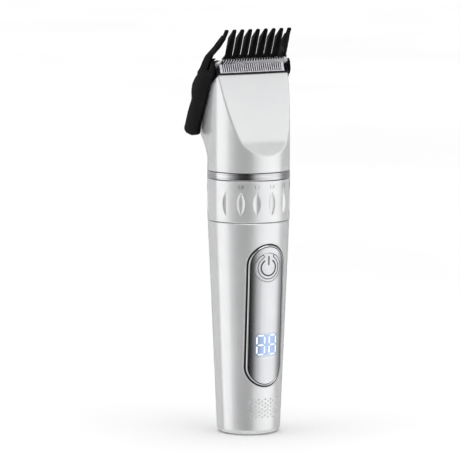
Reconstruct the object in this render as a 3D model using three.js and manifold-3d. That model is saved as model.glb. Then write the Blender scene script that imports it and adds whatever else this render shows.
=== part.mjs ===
// Cordless hair clipper, standing upright on its base, with a nine-tooth guide comb fitted.
// Units are millimetres. +Z is up, -Y is the front (button and display side), +X is the right
// seen from the front. The origin is the centre of the flat base.
import * as THREE from 'three';
import { mergeVertices } from 'three/addons/utils/BufferGeometryUtils.js';
import Module from 'manifold-3d';

const wasm = await Module();
wasm.setup();

// ---------------------------------------------------------------- driving dimensions
const GAP = 0.3;                     // clearance between neighbouring pieces
const CLEAR = 40;                    // reach of a cutting tool past the body
const AROUND = 56;                   // facets around the body
const WALL = 1.8;                    // moulded wall thickness
const BASE_RADIUS = 15.5;            // barrel radius at the base
const BARREL_TAPER = 0.0433;         // growth of the radius per millimetre of height
const BASE_ROUND = 2.5;              // rounding of the bottom edge
const CAP_RADIUS = 12.4;
const BARREL_TOP = 105.15;
const DIAL_BOTTOM = 105.45;
const DIAL_TOP = 125.75;
const RING_BOTTOM = 126.05;
const RING_TOP = 129.45;
const HEAD_BOTTOM = 129.75;
const DIAL_RADIUS = 20.4;
const RING_RADIUS = 20.3;
const HEAD_RADIUS = 20.2;
const SLEEVE_RADIUS = 17.6;          // spine tube that joins the barrel to the head
const SLEEVE_WALL = 1.4;

const PANEL_WIDTH = 20.4;
const PANEL_LENGTH = 70.5;
const PANEL_CENTRE = 59.5;           // height of the middle of the display panel
const PANEL_PROUD = 0.55;
const BUTTON_HEIGHT = 83.4;
const BUTTON_RADIUS = 7.1;
const DIGITS_HEIGHT = 44.5;

const FLUTE_COUNT = 16;              // positions around the dial, the two at the sides left plain
const FLUTE_OFFSET = 4;              // degrees
const FLUTE_LENGTH = 11.7;
const FLUTE_WIDTH = 3.9;
const FLUTE_DEPTH = 0.75;

const CREASE = [-15.6, 144];         // foot of the scooped face, as [y, z]
const FACE_TOP = [-4.3, 177.2];      // top edge of the scooped face
const LIP_BOTTOM = [-20.9, 137.0];   // where the lip runs out on the cylinder

const BLADE_TIP = [-4.2, 184.6];     // fixed tooth tips
const BLADE_LEAN = 53;               // degrees between the blade and the vertical
const TIP_DROP = 1.5;                // tips lie this far under the skin plane
const BLADE_WIDTH = 41;
const BLADE_LENGTH = 20;
const BLADE_THICK = 2.4;
const FIXED_PITCH = 1.44;
const FIXED_TEETH = 25;
const MOVER_PITCH = 1.21;
const MOVER_TEETH = 29;
const MOVER_WIDTH = 36.2;
const SEAT_DEPTH = 8.0;              // depth of the housing's seat under the skin plane

const COMB_PITCH = 4.4;
const COMB_TEETH = 9;
const COMB_TOOTH = 1.45;
const COMB_INNER = BLADE_WIDTH / 2 + 0.3;

const MOTOR_RADIUS = 10.2;
const MOTOR_BOTTOM = 108;
const MOTOR_TOP = 136;
const CELL_RADIUS = 9.15;
const CELL_LENGTH = 65;
const CELL_Y = 3.0;
const CELL_BOTTOM = 14.5;

const rad = THREE.MathUtils.degToRad;

// ---------------------------------------------------------------- solids
function solid(geometry) {
  const bare = geometry.index ? geometry : geometry.clone();
  bare.deleteAttribute('normal');
  bare.deleteAttribute('uv');
  const merged = mergeVertices(bare, 1e-4);
  const triangles = [];
  const index = merged.index.array;
  for (let i = 0; i < index.length; i += 3) {
    const [a, b, c] = [index[i], index[i + 1], index[i + 2]];
    if (a !== b && b !== c && a !== c) triangles.push(a, b, c);
  }
  const make = (tris) => new wasm.Manifold(new wasm.Mesh({
    numProp: 3,
    vertProperties: new Float32Array(merged.attributes.position.array),
    triVerts: new Uint32Array(tris),
  }));
  const body = make(triangles);
  if (body.volume() > 0) return body;
  const flipped = [];
  for (let i = 0; i < triangles.length; i += 3) {
    flipped.push(triangles[i], triangles[i + 2], triangles[i + 1]);
  }
  return make(flipped);
}

function geometryOf(body) {
  const mesh = body.getMesh();
  const corners = new Float32Array(mesh.vertProperties);
  const geometry = new THREE.BufferGeometry();
  geometry.setAttribute('position', new THREE.BufferAttribute(corners, 3));
  geometry.setIndex(new THREE.BufferAttribute(new Uint32Array(mesh.triVerts), 1));
  geometry.computeVertexNormals();
  return geometry;
}

const basis = (x, y, z) => new THREE.Matrix4().makeBasis(
  new THREE.Vector3(...x), new THREE.Vector3(...y), new THREE.Vector3(...z),
);

function prism(points, depth) {
  const shape = new THREE.Shape(points.map(([a, b]) => new THREE.Vector2(a, b)));
  return new THREE.ExtrudeGeometry(shape, { depth, bevelEnabled: false });
}

// [y, z] outline swept from x0 to x1
function alongX(points, x0, x1) {
  const geometry = prism(points, x1 - x0);
  geometry.applyMatrix4(basis([0, 1, 0], [0, 0, 1], [1, 0, 0]));
  return solid(geometry.translate(x0, 0, 0));
}

// [x, z] outline swept from y0 (front) to y1 (back), then turned about the upright axis
function alongY(points, y0, y1, turn = 0) {
  const geometry = prism(points, y1 - y0);
  geometry.applyMatrix4(basis([1, 0, 0], [0, 0, 1], [0, -1, 0]));
  return solid(geometry.translate(0, y1, 0).rotateZ(rad(turn)));
}

// [x, y] outline swept from z0 to z1
function alongZ(points, z0, z1) {
  return solid(prism(points, z1 - z0).translate(0, 0, z0));
}

// [radius, z] profile turned about a vertical axis
function turned(profile, around = AROUND, x = 0, y = 0) {
  const points = profile.map(([r, z]) => new THREE.Vector2(r, z));
  const geometry = new THREE.LatheGeometry(points, around);
  return solid(geometry.rotateX(Math.PI / 2).translate(x, y, 0));
}

function disc(radius, z0, z1, around = 24, x = 0, y = 0) {
  return turned([[0, z0], [radius, z0], [radius, z1], [0, z1]], around, x, y);
}

function tube(inner, outer, z0, z1, around = AROUND, x = 0, y = 0) {
  return turned([[inner, z0], [outer, z0], [outer, z1], [inner, z1], [inner, z0]], around, x, y);
}

function box(x0, x1, y0, y1, z0, z1) {
  const geometry = new THREE.BoxGeometry(x1 - x0, y1 - y0, z1 - z0);
  return solid(geometry.translate((x0 + x1) / 2, (y0 + y1) / 2, (z0 + z1) / 2));
}

function arcPoints(cx, cy, radius, from, to, steps) {
  const points = [];
  for (let i = 0; i <= steps; i += 1) {
    const angle = rad(from + ((to - from) * i) / steps);
    points.push([cx + radius * Math.cos(angle), cy + radius * Math.sin(angle)]);
  }
  return points;
}

// upright oval with round ends, as [x, z]
function oval(width, length, centre, steps = 12) {
  const r = width / 2;
  const reach = length / 2 - r;
  return [
    ...arcPoints(0, centre + reach, r, 0, 180, steps),
    ...arcPoints(0, centre - reach, r, 180, 360, steps),
  ];
}

function wire(points, radius) {
  const curve = new THREE.CatmullRomCurve3(points.map((p) => new THREE.Vector3(...p)));
  const section = new THREE.Shape(
    arcPoints(0, 0, radius, 0, 315, 7).map(([a, b]) => new THREE.Vector2(a, b)),
  );
  return solid(new THREE.ExtrudeGeometry(section, { steps: 14, extrudePath: curve }));
}

function union(...bodies) {
  return bodies.reduce((sum, body) => sum.add(body));
}

// ---------------------------------------------------------------- scene graph
const clipper = new THREE.Group();

function piece(name, body, color, roughness = 0.5, metalness = 0) {
  const material = new THREE.MeshStandardMaterial({ color, roughness, metalness });
  const mesh = new THREE.Mesh(geometryOf(body), material);
  mesh.name = name;
  clipper.add(mesh);
}

const PEARL = 0xe6e7e9;
const BLACK = 0x17171a;
const STEEL = 0xb9bcc2;
const CHROME = 0xd8dade;
const GREEN = 0x1f5a38;

// ---------------------------------------------------------------- barrel
const barrelRadius = (z) => BASE_RADIUS + BARREL_TAPER * z;

const barrelBottom = arcPoints(
  BASE_RADIUS - BASE_ROUND, BASE_ROUND + GAP, BASE_ROUND, 270, 360, 4,
);
const barrelBody = turned([
  [CAP_RADIUS + GAP, GAP],
  ...barrelBottom,
  [barrelRadius(BARREL_TOP / 2), BARREL_TOP / 2],
  [barrelRadius(BARREL_TOP), BARREL_TOP],
  [barrelRadius(BARREL_TOP) - WALL, BARREL_TOP],
  [barrelRadius(BARREL_TOP / 2) - WALL, BARREL_TOP / 2],
  [barrelRadius(6) - WALL, 6],
  [CAP_RADIUS + GAP, 4.4],
  [CAP_RADIUS + GAP, GAP],
]);

// round shell that follows the barrel, between two distances from its outer face
function barrelSkin(inside, outside, z0, z1) {
  return turned([
    [barrelRadius(z0) - inside, z0],
    [barrelRadius(z0) + outside, z0],
    [barrelRadius(z1) + outside, z1],
    [barrelRadius(z1) - inside, z1],
    [barrelRadius(z0) - inside, z0],
  ], 72);
}

const panelLow = PANEL_CENTRE - PANEL_LENGTH / 2 - 2;
const panelHigh = PANEL_CENTRE + PANEL_LENGTH / 2 + 2;
const LEDGE = 1.9;                   // width of the ledge that carries the panel
const POCKET = 1.0;                  // depth of the panel's pocket
const BEZEL = 0.8;                   // width of the chrome rim

const pocketCut = alongY(oval(PANEL_WIDTH + 2 * GAP, PANEL_LENGTH + 2 * GAP, PANEL_CENTRE), -40, 0)
  .intersect(barrelSkin(POCKET, 4, panelLow, panelHigh));
const windowCut = alongY(
  oval(PANEL_WIDTH - 2 * LEDGE, PANEL_LENGTH - 2 * LEDGE, PANEL_CENTRE, 8), -40, 0,
);
piece('barrel_housing', barrelBody.subtract(pocketCut).subtract(windowCut), PEARL, 0.25);

const panelPrism = (inset) => alongY(
  oval(PANEL_WIDTH - 2 * inset, PANEL_LENGTH - 2 * inset, PANEL_CENTRE), -40, -4,
);
const buttonHole = alongY(arcPoints(0, BUTTON_HEIGHT, BUTTON_RADIUS + GAP, 0, 345, 23), -40, 0);
const bezelRing = panelPrism(0).subtract(panelPrism(BEZEL))
  .intersect(barrelSkin(POCKET - GAP, PANEL_PROUD, panelLow, panelHigh));
piece('panel_bezel', bezelRing, CHROME, 0.15, 1);
const lens = panelPrism(BEZEL + 0.15)
  .intersect(barrelSkin(POCKET - GAP, PANEL_PROUD - 0.1, panelLow, panelHigh))
  .subtract(buttonHole);
piece('display_panel', lens, 0xc2c5ca, 0.12, 0.6);

// power button: round cap that follows the panel, with a stem behind it
const buttonFront = barrelSkin(POCKET - GAP, PANEL_PROUD, panelLow, panelHigh + 4);
const buttonCap = alongY(arcPoints(0, BUTTON_HEIGHT, BUTTON_RADIUS, 0, 345, 23), -40, -8)
  .intersect(buttonFront);
const buttonStem = alongY(arcPoints(0, BUTTON_HEIGHT, 2.2, 0, 330, 11), -18.6, -13.6);
piece('power_button', union(buttonCap, buttonStem), 0xc9ccd1, 0.15, 0.6);

// ---------------------------------------------------------------- base
const SCREW_Y = -8.6;
const SOCKET_Y = 6.2;
const SLOT_WIDTH = 9.2;
const SLOT_HEIGHT = 3.4;

function slotOutline(width, height, y) {
  const r = height / 2;
  return [
    ...arcPoints(width / 2 - r, y, r, -90, 90, 6),
    ...arcPoints(-(width / 2 - r), y, r, 90, 270, 6),
  ];
}

const capBody = turned([
  [0, 0], [CAP_RADIUS - 0.4, 0], [CAP_RADIUS, 0.4], [CAP_RADIUS, 3.2], [0, 3.2],
]);
const cap = capBody
  .subtract(alongZ(slotOutline(SLOT_WIDTH + 1.8, SLOT_HEIGHT + 1.8, SOCKET_Y), -1, 5))
  .subtract(disc(1.2, -1, 5, 16, 0, SCREW_Y))
  .subtract(disc(2.4, -1, 1.8, 16, 0, SCREW_Y));
piece('base_cap', cap, PEARL, 0.35);

const socketShell = alongZ(slotOutline(SLOT_WIDTH + 1.2, SLOT_HEIGHT + 1.2, SOCKET_Y), 0.5, 8.6)
  .subtract(alongZ(slotOutline(SLOT_WIDTH, SLOT_HEIGHT, SOCKET_Y), -1, 7.4));
const socketTongue = box(-3.3, 3.3, SOCKET_Y - 0.4, SOCKET_Y + 0.4, 1.6, 7.8);
piece('charge_socket', union(socketShell, socketTongue), STEEL, 0.3, 0.9);

function screw(headRadius, shankRadius, headBottom, headTop, shankTop, x, y) {
  const body = turned([
    [0, headBottom], [headRadius, headBottom], [headRadius, headTop],
    [shankRadius, headTop], [shankRadius, shankTop], [0, shankTop],
  ], 16, x, y);
  const slot = 0.5;
  const cutA = box(x - headRadius * 0.6, x + headRadius * 0.6, y - slot / 2, y + slot / 2,
    headBottom - 1, headBottom + 0.7);
  const cutB = box(x - slot / 2, x + slot / 2, y - headRadius * 0.6, y + headRadius * 0.6,
    headBottom - 1, headBottom + 0.7);
  return body.subtract(cutA).subtract(cutB);
}
piece('base_screw', screw(2.0, 0.9, 0.4, 1.5, 9.0, 0, SCREW_Y), STEEL, 0.35, 0.9);

piece('charge_board', box(-7.5, 7.5, 1.5, 10.6, 9.0, 10.2), GREEN);

// ---------------------------------------------------------------- inner frame, cell and boards
const cradleOuter = CELL_RADIUS + 1.7;
const cradle = union(
  tube(CELL_RADIUS + GAP, cradleOuter, 11.5, 84, 40, 0, CELL_Y),
  disc(cradleOuter, 11.5, 13.4, 40, 0, CELL_Y),
).subtract(box(-20, 20, -20, -2.6, 13.4, 90));
const screwBoss = union(
  disc(2.2, 4.4, 13.4, 16, 0, SCREW_Y),
  box(-2.2, 2.2, SCREW_Y, -2, 11.5, 13.4),
).subtract(disc(1.2, 3, 10.4, 12, 0, SCREW_Y));
piece('battery_cradle', union(cradle, screwBoss), 0x3b3d42);

piece('battery_cell', union(
  disc(CELL_RADIUS, CELL_BOTTOM, CELL_BOTTOM + CELL_LENGTH, 32, 0, CELL_Y),
  disc(2.8, CELL_BOTTOM + CELL_LENGTH - 0.1, CELL_BOTTOM + CELL_LENGTH + 1.1, 16, 0, CELL_Y),
), 0x2d6fb0);
piece('battery_tab_top', box(-3, 3, -6.4, CELL_Y + 3, 81.0, 81.4), STEEL, 0.4, 0.9);
piece('battery_tab_bottom', box(-3, 3, -6.4, CELL_Y + 3, 13.75, 14.15), STEEL, 0.4, 0.9);

const BOARD_FRONT = -8.7;
const BOARD_BACK = -7.5;
piece('main_board', box(-10.2, 10.2, BOARD_FRONT, BOARD_BACK, 17, 96), GREEN);
piece('control_chip', box(-3.5, 3.5, -7.2, -6.2, 84, 91), 0x202124);
piece('digit_display', box(-6.6, 6.6, -14.6, BOARD_FRONT - GAP, DIGITS_HEIGHT - 6.5,
  DIGITS_HEIGHT + 6.5), 0xf2f4f7);

// tactile switch: square body with a bore that the plunger sinks into
const SWITCH_HALF = 3.1;
const SWITCH_FACE = -11.6;
const PLUNGER_RADIUS = 1.6;
const PLUNGER_BACK = -11.2;
const PRESS = 0.6;                   // travel of the power button
const upright = (radius) => arcPoints(0, BUTTON_HEIGHT, radius, 0, 330, 11);
const switchBody = box(
  -SWITCH_HALF, SWITCH_HALF, SWITCH_FACE, BOARD_FRONT - GAP,
  BUTTON_HEIGHT - SWITCH_HALF, BUTTON_HEIGHT + SWITCH_HALF,
).subtract(alongY(upright(PLUNGER_RADIUS + GAP), SWITCH_FACE - 1, PLUNGER_BACK + PRESS + GAP));
piece('button_switch', switchBody, 0x303236);
piece('switch_plunger', alongY(upright(PLUNGER_RADIUS), -13.3, PLUNGER_BACK), BLACK);

// ---------------------------------------------------------------- spine tube, dial and trim ring
const sleeveInner = SLEEVE_RADIUS - SLEEVE_WALL;
const SLEEVE_BOTTOM = 97.5;
const SLEEVE_TOP = 135.4;
const sleeve = union(
  tube(sleeveInner, SLEEVE_RADIUS, SLEEVE_BOTTOM, SLEEVE_TOP, 48),
  disc(SLEEVE_RADIUS - 0.5, 105.3, 107.1, 48).subtract(disc(3.6, 100, 110, 24)),
).subtract(box(-1.7, 1.7, 14, 20, 121.8, 127));
piece('spine_tube', sleeve, 0x55585e);

function flute(position) {
  const half = FLUTE_LENGTH / 2;
  const bulge = FLUTE_WIDTH / 2;
  const radius = (half * half + bulge * bulge) / (2 * bulge);
  const spread = THREE.MathUtils.radToDeg(Math.asin(half / radius));
  const middle = (DIAL_BOTTOM + DIAL_TOP) / 2 - 0.9;
  const outline = [
    ...arcPoints(-(radius - bulge), middle, radius, -spread, spread, 8),
    ...arcPoints(radius - bulge, middle, radius, 180 - spread, 180 + spread, 8).slice(1, -1),
  ];
  const turn = FLUTE_OFFSET + (360 / FLUTE_COUNT) * position;
  return alongY(outline, -(DIAL_RADIUS + 2), -(DIAL_RADIUS - FLUTE_DEPTH), turn);
}
const dialInner = SLEEVE_RADIUS + GAP;
const GROOVE = 0.7;
let dial = turned([
  [dialInner, DIAL_BOTTOM], [DIAL_RADIUS - 0.5, DIAL_BOTTOM], [DIAL_RADIUS - 0.15, DIAL_BOTTOM + 0.4],
  [DIAL_RADIUS, DIAL_TOP - 4.2], [DIAL_RADIUS, DIAL_TOP - 0.3], [DIAL_RADIUS - 0.3, DIAL_TOP],
  [dialInner + GROOVE, DIAL_TOP], [dialInner + GROOVE, DIAL_TOP - 4.2],
  [dialInner, DIAL_TOP - 5], [dialInner, DIAL_BOTTOM],
], 64);
for (let i = 0; i < FLUTE_COUNT; i += 1) {
  const atSide = i === FLUTE_COUNT / 4 || i === (3 * FLUTE_COUNT) / 4;
  if (!atSide) dial = dial.subtract(flute(i));
}
piece('length_dial', dial, PEARL, 0.25);

piece('trim_ring', turned([
  [dialInner, RING_BOTTOM], [RING_RADIUS - 0.2, RING_BOTTOM], [RING_RADIUS, RING_BOTTOM + 0.3],
  [RING_RADIUS, RING_TOP - 0.3], [RING_RADIUS - 0.2, RING_TOP], [dialInner, RING_TOP],
  [dialInner, RING_BOTTOM],
]), 0x8f9297, 0.25, 1);

// detent leaf: bent strip that clicks into the dial
piece('detent_spring', alongZ([
  ...arcPoints(0, 0, 16.0, 60, 120, 8),
  ...arcPoints(0, 0, 15.6, 120, 60, 8),
], 109.5, 112.5), STEEL, 0.3, 0.9);

// ---------------------------------------------------------------- head housing
// half depth towards the back, and squareness of the back corners, at each height
const HEEL = [
  [HEAD_BOTTOM, 20.2, 2.0], [136, 20.2, 2.0], [140, 20.3, 2.3], [144, 20.9, 2.9],
  [147.2, 21.6, 3.7], [149.4, 21.5, 4.2], [153, 19.9, 4.6], [158, 17.9, 5.0],
  [164, 15.8, 5.4], [170, 14.2, 5.8], [180, 12.6, 6.0],
];

function headOutline(half, back, square, steps) {
  const points = [];
  for (let i = 0; i < steps; i += 1) {
    const angle = (2 * Math.PI * i) / steps;
    const c = Math.cos(angle);
    const s = Math.sin(angle);
    if (s <= 0) {
      points.push([half * c, half * s]);
    } else {
      const power = 2 / square;
      points.push([half * Math.sign(c) * Math.abs(c) ** power, back * s ** power]);
    }
  }
  return points;
}

function loft(sections) {
  const count = sections[0].length;
  const positions = sections.flat(2);
  const index = [];
  for (let k = 0; k < sections.length - 1; k += 1) {
    for (let i = 0; i < count; i += 1) {
      const a = k * count + i;
      const b = k * count + ((i + 1) % count);
      index.push(a, b, b + count, a, b + count, a + count);
    }
  }
  const last = (sections.length - 1) * count;
  for (let i = 1; i < count - 1; i += 1) {
    index.push(0, i + 1, i, last, last + i, last + i + 1);
  }
  const geometry = new THREE.BufferGeometry();
  geometry.setAttribute('position', new THREE.BufferAttribute(new Float32Array(positions), 3));
  geometry.setIndex(index);
  return solid(geometry);
}

function headLoft(inset, bottom, top, steps = AROUND) {
  const rows = [
    [bottom, ...HEEL[0].slice(1)],
    ...HEEL.slice(1, -1),
    [top, ...HEEL.at(-1).slice(1)],
  ];
  return loft(rows.map(([z, back, square]) => headOutline(
    HEAD_RADIUS - inset, back - inset, square, steps,
  ).map(([x, y]) => [x, y, z])));
}

// the blade's own directions: s runs back from the tips along the skin plane, t runs inwards
const lean = rad(BLADE_LEAN);
const ALONG = [Math.sin(lean), -Math.cos(lean)];
const INWARD = [-Math.cos(lean), -Math.sin(lean)];
const SKIN_ORIGIN = [
  BLADE_TIP[0] - TIP_DROP * INWARD[0],
  BLADE_TIP[1] - TIP_DROP * INWARD[1],
];
const atBlade = ([s, t]) => [
  SKIN_ORIGIN[0] + s * ALONG[0] + t * INWARD[0],
  SKIN_ORIGIN[1] + s * ALONG[1] + t * INWARD[1],
];
const bladeOutline = (points) => points.map(atBlade);

// tool that removes everything in front of the scooped face, moved in by a wall's thickness
const faceLean = Math.atan2(FACE_TOP[0] - CREASE[0], FACE_TOP[1] - CREASE[1]);
const lipLean = Math.atan2(CREASE[0] - LIP_BOTTOM[0], CREASE[1] - LIP_BOTTOM[1]);
function scoopTool(inset) {
  const faceIn = [Math.cos(faceLean) * inset, -Math.sin(faceLean) * inset];
  const lipIn = [Math.cos(lipLean) * inset, -Math.sin(lipLean) * inset];
  const half = (lipLean - faceLean) / 2;
  const middle = (lipLean + faceLean) / 2;
  const foot = inset / Math.cos(half);
  const above = 26;                  // how far the tool runs past the face's top edge
  const below = 10;                  // and past the lip's lower end
  return alongX([
    [CREASE[0] + Math.cos(middle) * foot, CREASE[1] - Math.sin(middle) * foot],
    [
      FACE_TOP[0] + above * Math.sin(faceLean) + faceIn[0],
      FACE_TOP[1] + above * Math.cos(faceLean) + faceIn[1],
    ],
    [-CLEAR, FACE_TOP[1] + above],
    [-CLEAR, LIP_BOTTOM[1] - 3 * below],
    [
      LIP_BOTTOM[0] - below * Math.sin(lipLean) + lipIn[0],
      LIP_BOTTOM[1] - below * Math.cos(lipLean) + lipIn[1],
    ],
  ], -CLEAR, CLEAR);
}
const seatTool = (depth) => alongX(bladeOutline([
  [-CLEAR, depth], [60, depth], [60, -60], [-CLEAR, -60],
]), -CLEAR, CLEAR);

const LOFT_TOP = 182;                // above the seat, which trims the loft
const headOuter = headLoft(0, HEAD_BOTTOM, LOFT_TOP)
  .subtract(scoopTool(0))
  .subtract(seatTool(SEAT_DEPTH));
const headInner = headLoft(WALL, HEAD_BOTTOM - 1, LOFT_TOP, 40).subtract(scoopTool(WALL));
piece('head_housing', headOuter.subtract(headInner), PEARL, 0.25);

// ---------------------------------------------------------------- motor and drive
const motorCan = turned([
  [0, MOTOR_BOTTOM], [7.6, MOTOR_BOTTOM], [7.6, MOTOR_BOTTOM + 0.8],
  [MOTOR_RADIUS, MOTOR_BOTTOM + 0.8], [MOTOR_RADIUS, MOTOR_TOP - 1.5],
  [3.2, MOTOR_TOP - 1.5], [3.2, MOTOR_TOP], [0, MOTOR_TOP],
], 32).subtract(disc(1.3, MOTOR_TOP - 6, MOTOR_TOP + 1, 16));
piece('motor_can', motorCan, STEEL, 0.35, 0.9);
piece('motor_shaft', disc(1.0, MOTOR_TOP - 5.5, 150, 16), CHROME, 0.2, 1);

const BRACKET_BOTTOM = 136.0;
const BRACKET_TOP = 137.6;
const MOTOR_SCREW_X = 7;
let bracket = union(
  disc(17.4, BRACKET_BOTTOM, BRACKET_TOP, 40),
  tube(15.4, 17.4, BRACKET_TOP - 0.1, 141.0, 40).subtract(box(-20, 20, -20, -7, 130, 150)),
).subtract(disc(3.6, 130, 150, 24))
  .subtract(box(-20, 20, -21, -14.5, 130, 150))
  .subtract(box(-3.2, 3.2, 12.6, 20, 130, 150));
for (const side of [-1, 1]) {
  bracket = bracket.subtract(disc(1.25, 130, 150, 12, side * MOTOR_SCREW_X, 0));
}
piece('motor_bracket', bracket, 0x55585e);
[-1, 1].forEach((side, i) => {
  const body = turned([
    [0, 134.8], [0.9, 134.8], [0.9, BRACKET_TOP + GAP], [1.9, BRACKET_TOP + GAP],
    [1.9, BRACKET_TOP + 1.5], [0, BRACKET_TOP + 1.5],
  ], 16, side * MOTOR_SCREW_X, 0);
  piece(`motor_screw_${i + 1}`, body, STEEL, 0.3, 0.9);
});

const CAM_OFFSET = 1.1;              // throw of the eccentric pin
const PIN_RADIUS = 1.5;
const PIN_TOP = 163;
piece('eccentric_cam', union(
  disc(4.6, 140.2, 144, 24),
  disc(3.2, 143.9, 153, 20),
  disc(PIN_RADIUS, 152.9, PIN_TOP, 16, CAM_OFFSET, 0),
).subtract(disc(1.3, 139, 151, 16)), 0xd9d4c4);

// ---------------------------------------------------------------- blade set
const bladeBlock = (x0, x1, s0, s1, t0, t1) => alongX(
  bladeOutline([[s0, t0], [s1, t0], [s1, t1], [s0, t1]]), x0, x1,
);

function teethSlots(count, pitch, slot, s0, s1, t0, t1) {
  const cuts = [];
  for (let i = 0; i <= count; i += 1) {
    const x = (i - count / 2) * pitch;
    cuts.push(bladeBlock(x - slot / 2, x + slot / 2, s0, s1, t0, t1));
  }
  return union(...cuts);
}

const halfBlade = BLADE_WIDTH / 2;
const CORNER = 3.2;
const bladePlan = [
  ...arcPoints(-(halfBlade - CORNER), CORNER, CORNER, 180, 270, 5),
  ...arcPoints(halfBlade - CORNER, CORNER, CORNER, 270, 360, 5),
  [halfBlade, BLADE_LENGTH], [-halfBlade, BLADE_LENGTH],
];
// plate seen square to the blade, as [x, s], swept through the blade's thickness
function bladePlate(plan, t0, t1) {
  const geometry = prism(plan, t1 - t0);
  geometry.applyMatrix4(basis([1, 0, 0], [0, ...ALONG], [0, ...INWARD]));
  const [y, z] = atBlade([0, t0]);
  return solid(geometry.translate(0, y, z));
}
const BLADE_SCREW_X = 9;
const BLADE_SCREW_S = 18.0;
const FIXED_SLOT = 0.62;
const FIXED_ROOT = 6.0;              // how far the slots between the teeth run back
const bladeBevel = alongX(bladeOutline([
  [-2, -1], [5.2, -1], [5.2, 0], [0, TIP_DROP], [-2, TIP_DROP],
]), -CLEAR, CLEAR);
let fixedBlade = bladePlate(bladePlan, 0, BLADE_THICK)
  .subtract(bladeBevel)
  .subtract(teethSlots(FIXED_TEETH, FIXED_PITCH, FIXED_SLOT, -2, FIXED_ROOT, -1, 4));
for (const side of [-1, 1]) {
  const hole = arcPoints(side * BLADE_SCREW_X, BLADE_SCREW_S, 1.4, 0, 330, 11);
  const sink = arcPoints(side * BLADE_SCREW_X, BLADE_SCREW_S, 2.5, 0, 337.5, 15);
  fixedBlade = fixedBlade.subtract(bladePlate(hole, -1, 4)).subtract(bladePlate(sink, -1, 1.2));
}
piece('fixed_blade', fixedBlade, CHROME, 0.2, 1);

const MOVER_TOP = BLADE_THICK + GAP;
const MOVER_START = 2.9;
const MOVER_DEPTH = 4.0;             // height of the toothed edge, through the blade
const MOVER_BACK = 13.4;
const MOVER_PLATE = 4.9;             // underside of the thin rear of the moving blade
const moverFoot = MOVER_START + MOVER_DEPTH / Math.tan(lean + faceLean);
const moverBody = alongX(bladeOutline([
  [MOVER_START, MOVER_TOP], [MOVER_BACK, MOVER_TOP], [MOVER_BACK, MOVER_PLATE],
  [8.2, MOVER_PLATE], [7.0, MOVER_TOP + MOVER_DEPTH], [moverFoot, MOVER_TOP + MOVER_DEPTH],
]), -MOVER_WIDTH / 2, MOVER_WIDTH / 2);
const MOVER_SLOT = 0.5;
const MOVER_ROOT = 6.2;
const moverSlots = teethSlots(
  MOVER_TEETH, MOVER_PITCH, MOVER_SLOT, 1, MOVER_ROOT, 2, MOVER_TOP + MOVER_DEPTH + 1,
);
piece('moving_blade', moverBody.subtract(moverSlots), 0xe4e4e6, 0.3, 0.3);

// drive fork: plate under the moving blade with two legs that straddle the eccentric pin
const FORK_GAP = 4.0;                // half the width between the legs
const FORK_LEG = 1.4;
let fork = bladeBlock(-7, 7, 8.8, MOVER_BACK - 0.2, MOVER_PLATE + GAP, 6.4);
for (const side of [-1, 1]) {
  const inner = side * FORK_GAP;
  const outer = side * (FORK_GAP + FORK_LEG);
  const leg = alongX([
    [-2.4, 157.5], [3.2, 157.5], [3.2, 180], [0.6, 180], [0.6, 164], [-2.4, 162],
  ], Math.min(inner, outer), Math.max(inner, outer)).subtract(bladeBlock(-8, 8, -20, 40, -20, 5.8));
  fork = fork.add(leg);
}
piece('drive_fork', fork, 0x2b2c30);

// plastic tray that carries the fixed blade and houses the moving one
const FRAME_HALF = 20.0;
const FRAME_BOTTOM = SEAT_DEPTH - GAP;
const FRAME_BACK = 29.6;
const frameBody = alongX(bladeOutline([
  [moverFoot - 0.15, MOVER_TOP + MOVER_DEPTH + GAP], [4.0, MOVER_TOP],
  [BLADE_LENGTH + GAP, MOVER_TOP], [BLADE_LENGTH + GAP, 0.5], [21.6, 0.5],
  [FRAME_BACK - 0.4, 6.2], [FRAME_BACK, FRAME_BOTTOM], [moverFoot + 0.1, FRAME_BOTTOM],
]), -FRAME_HALF, FRAME_HALF);
const MOVER_ROOM = MOVER_WIDTH / 2 + 1.5;
const frame = frameBody
  .subtract(bladeBlock(-MOVER_ROOM, MOVER_ROOM, 0, 9.6, 0, MOVER_TOP + MOVER_DEPTH + GAP))
  .subtract(bladeBlock(-MOVER_ROOM, MOVER_ROOM, 9.5, 16.1, 0, 6.6))
  .subtract(bladeBlock(-7.0, 7.0, 7.9, 15.9, 5, 9))
  .subtract(bladeBlock(-3.4, 3.4, 15, 18.6, 2, 9))
  .add(bladeBlock(-6, 6, 25.4, 26.8, FRAME_BOTTOM - 0.1, 10.4));
let frameDrilled = frame;
for (const side of [-1, 1]) {
  const hole = arcPoints(side * BLADE_SCREW_X, BLADE_SCREW_S, 1.25, 0, 330, 11);
  frameDrilled = frameDrilled.subtract(bladePlate(hole, 1, 7.2));
}
piece('blade_frame', frameDrilled, BLACK, 0.5);

[-1, 1].forEach((side, i) => {
  const x = side * BLADE_SCREW_X;
  const head = bladePlate(arcPoints(x, BLADE_SCREW_S, 2.2, 0, 337.5, 15), 0.2, 0.95)
    .subtract(bladePlate([[x - 1.5, BLADE_SCREW_S - 0.3], [x + 1.5, BLADE_SCREW_S - 0.3],
      [x + 1.5, BLADE_SCREW_S + 0.3], [x - 1.5, BLADE_SCREW_S + 0.3]], 0, 0.6));
  const shank = bladePlate(arcPoints(x, BLADE_SCREW_S, 1.0, 0, 330, 11), 0.9, 6.6);
  piece(`blade_screw_${i + 1}`, head.add(shank), STEEL, 0.3, 0.9);
});

[-1, 1].forEach((side, i) => {
  const inner = side * 9.5;
  const outer = side * 13.5;
  const leaf = alongX(bladeOutline([
    [9.9, 5.2], [12, 5.3], [15.8, 5.9], [15.8, 6.3], [12, 5.7], [9.9, 5.6],
  ]), Math.min(inner, outer), Math.max(inner, outer));
  piece(`tension_spring_${i + 1}`, leaf, STEEL, 0.3, 0.9);
});

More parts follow.
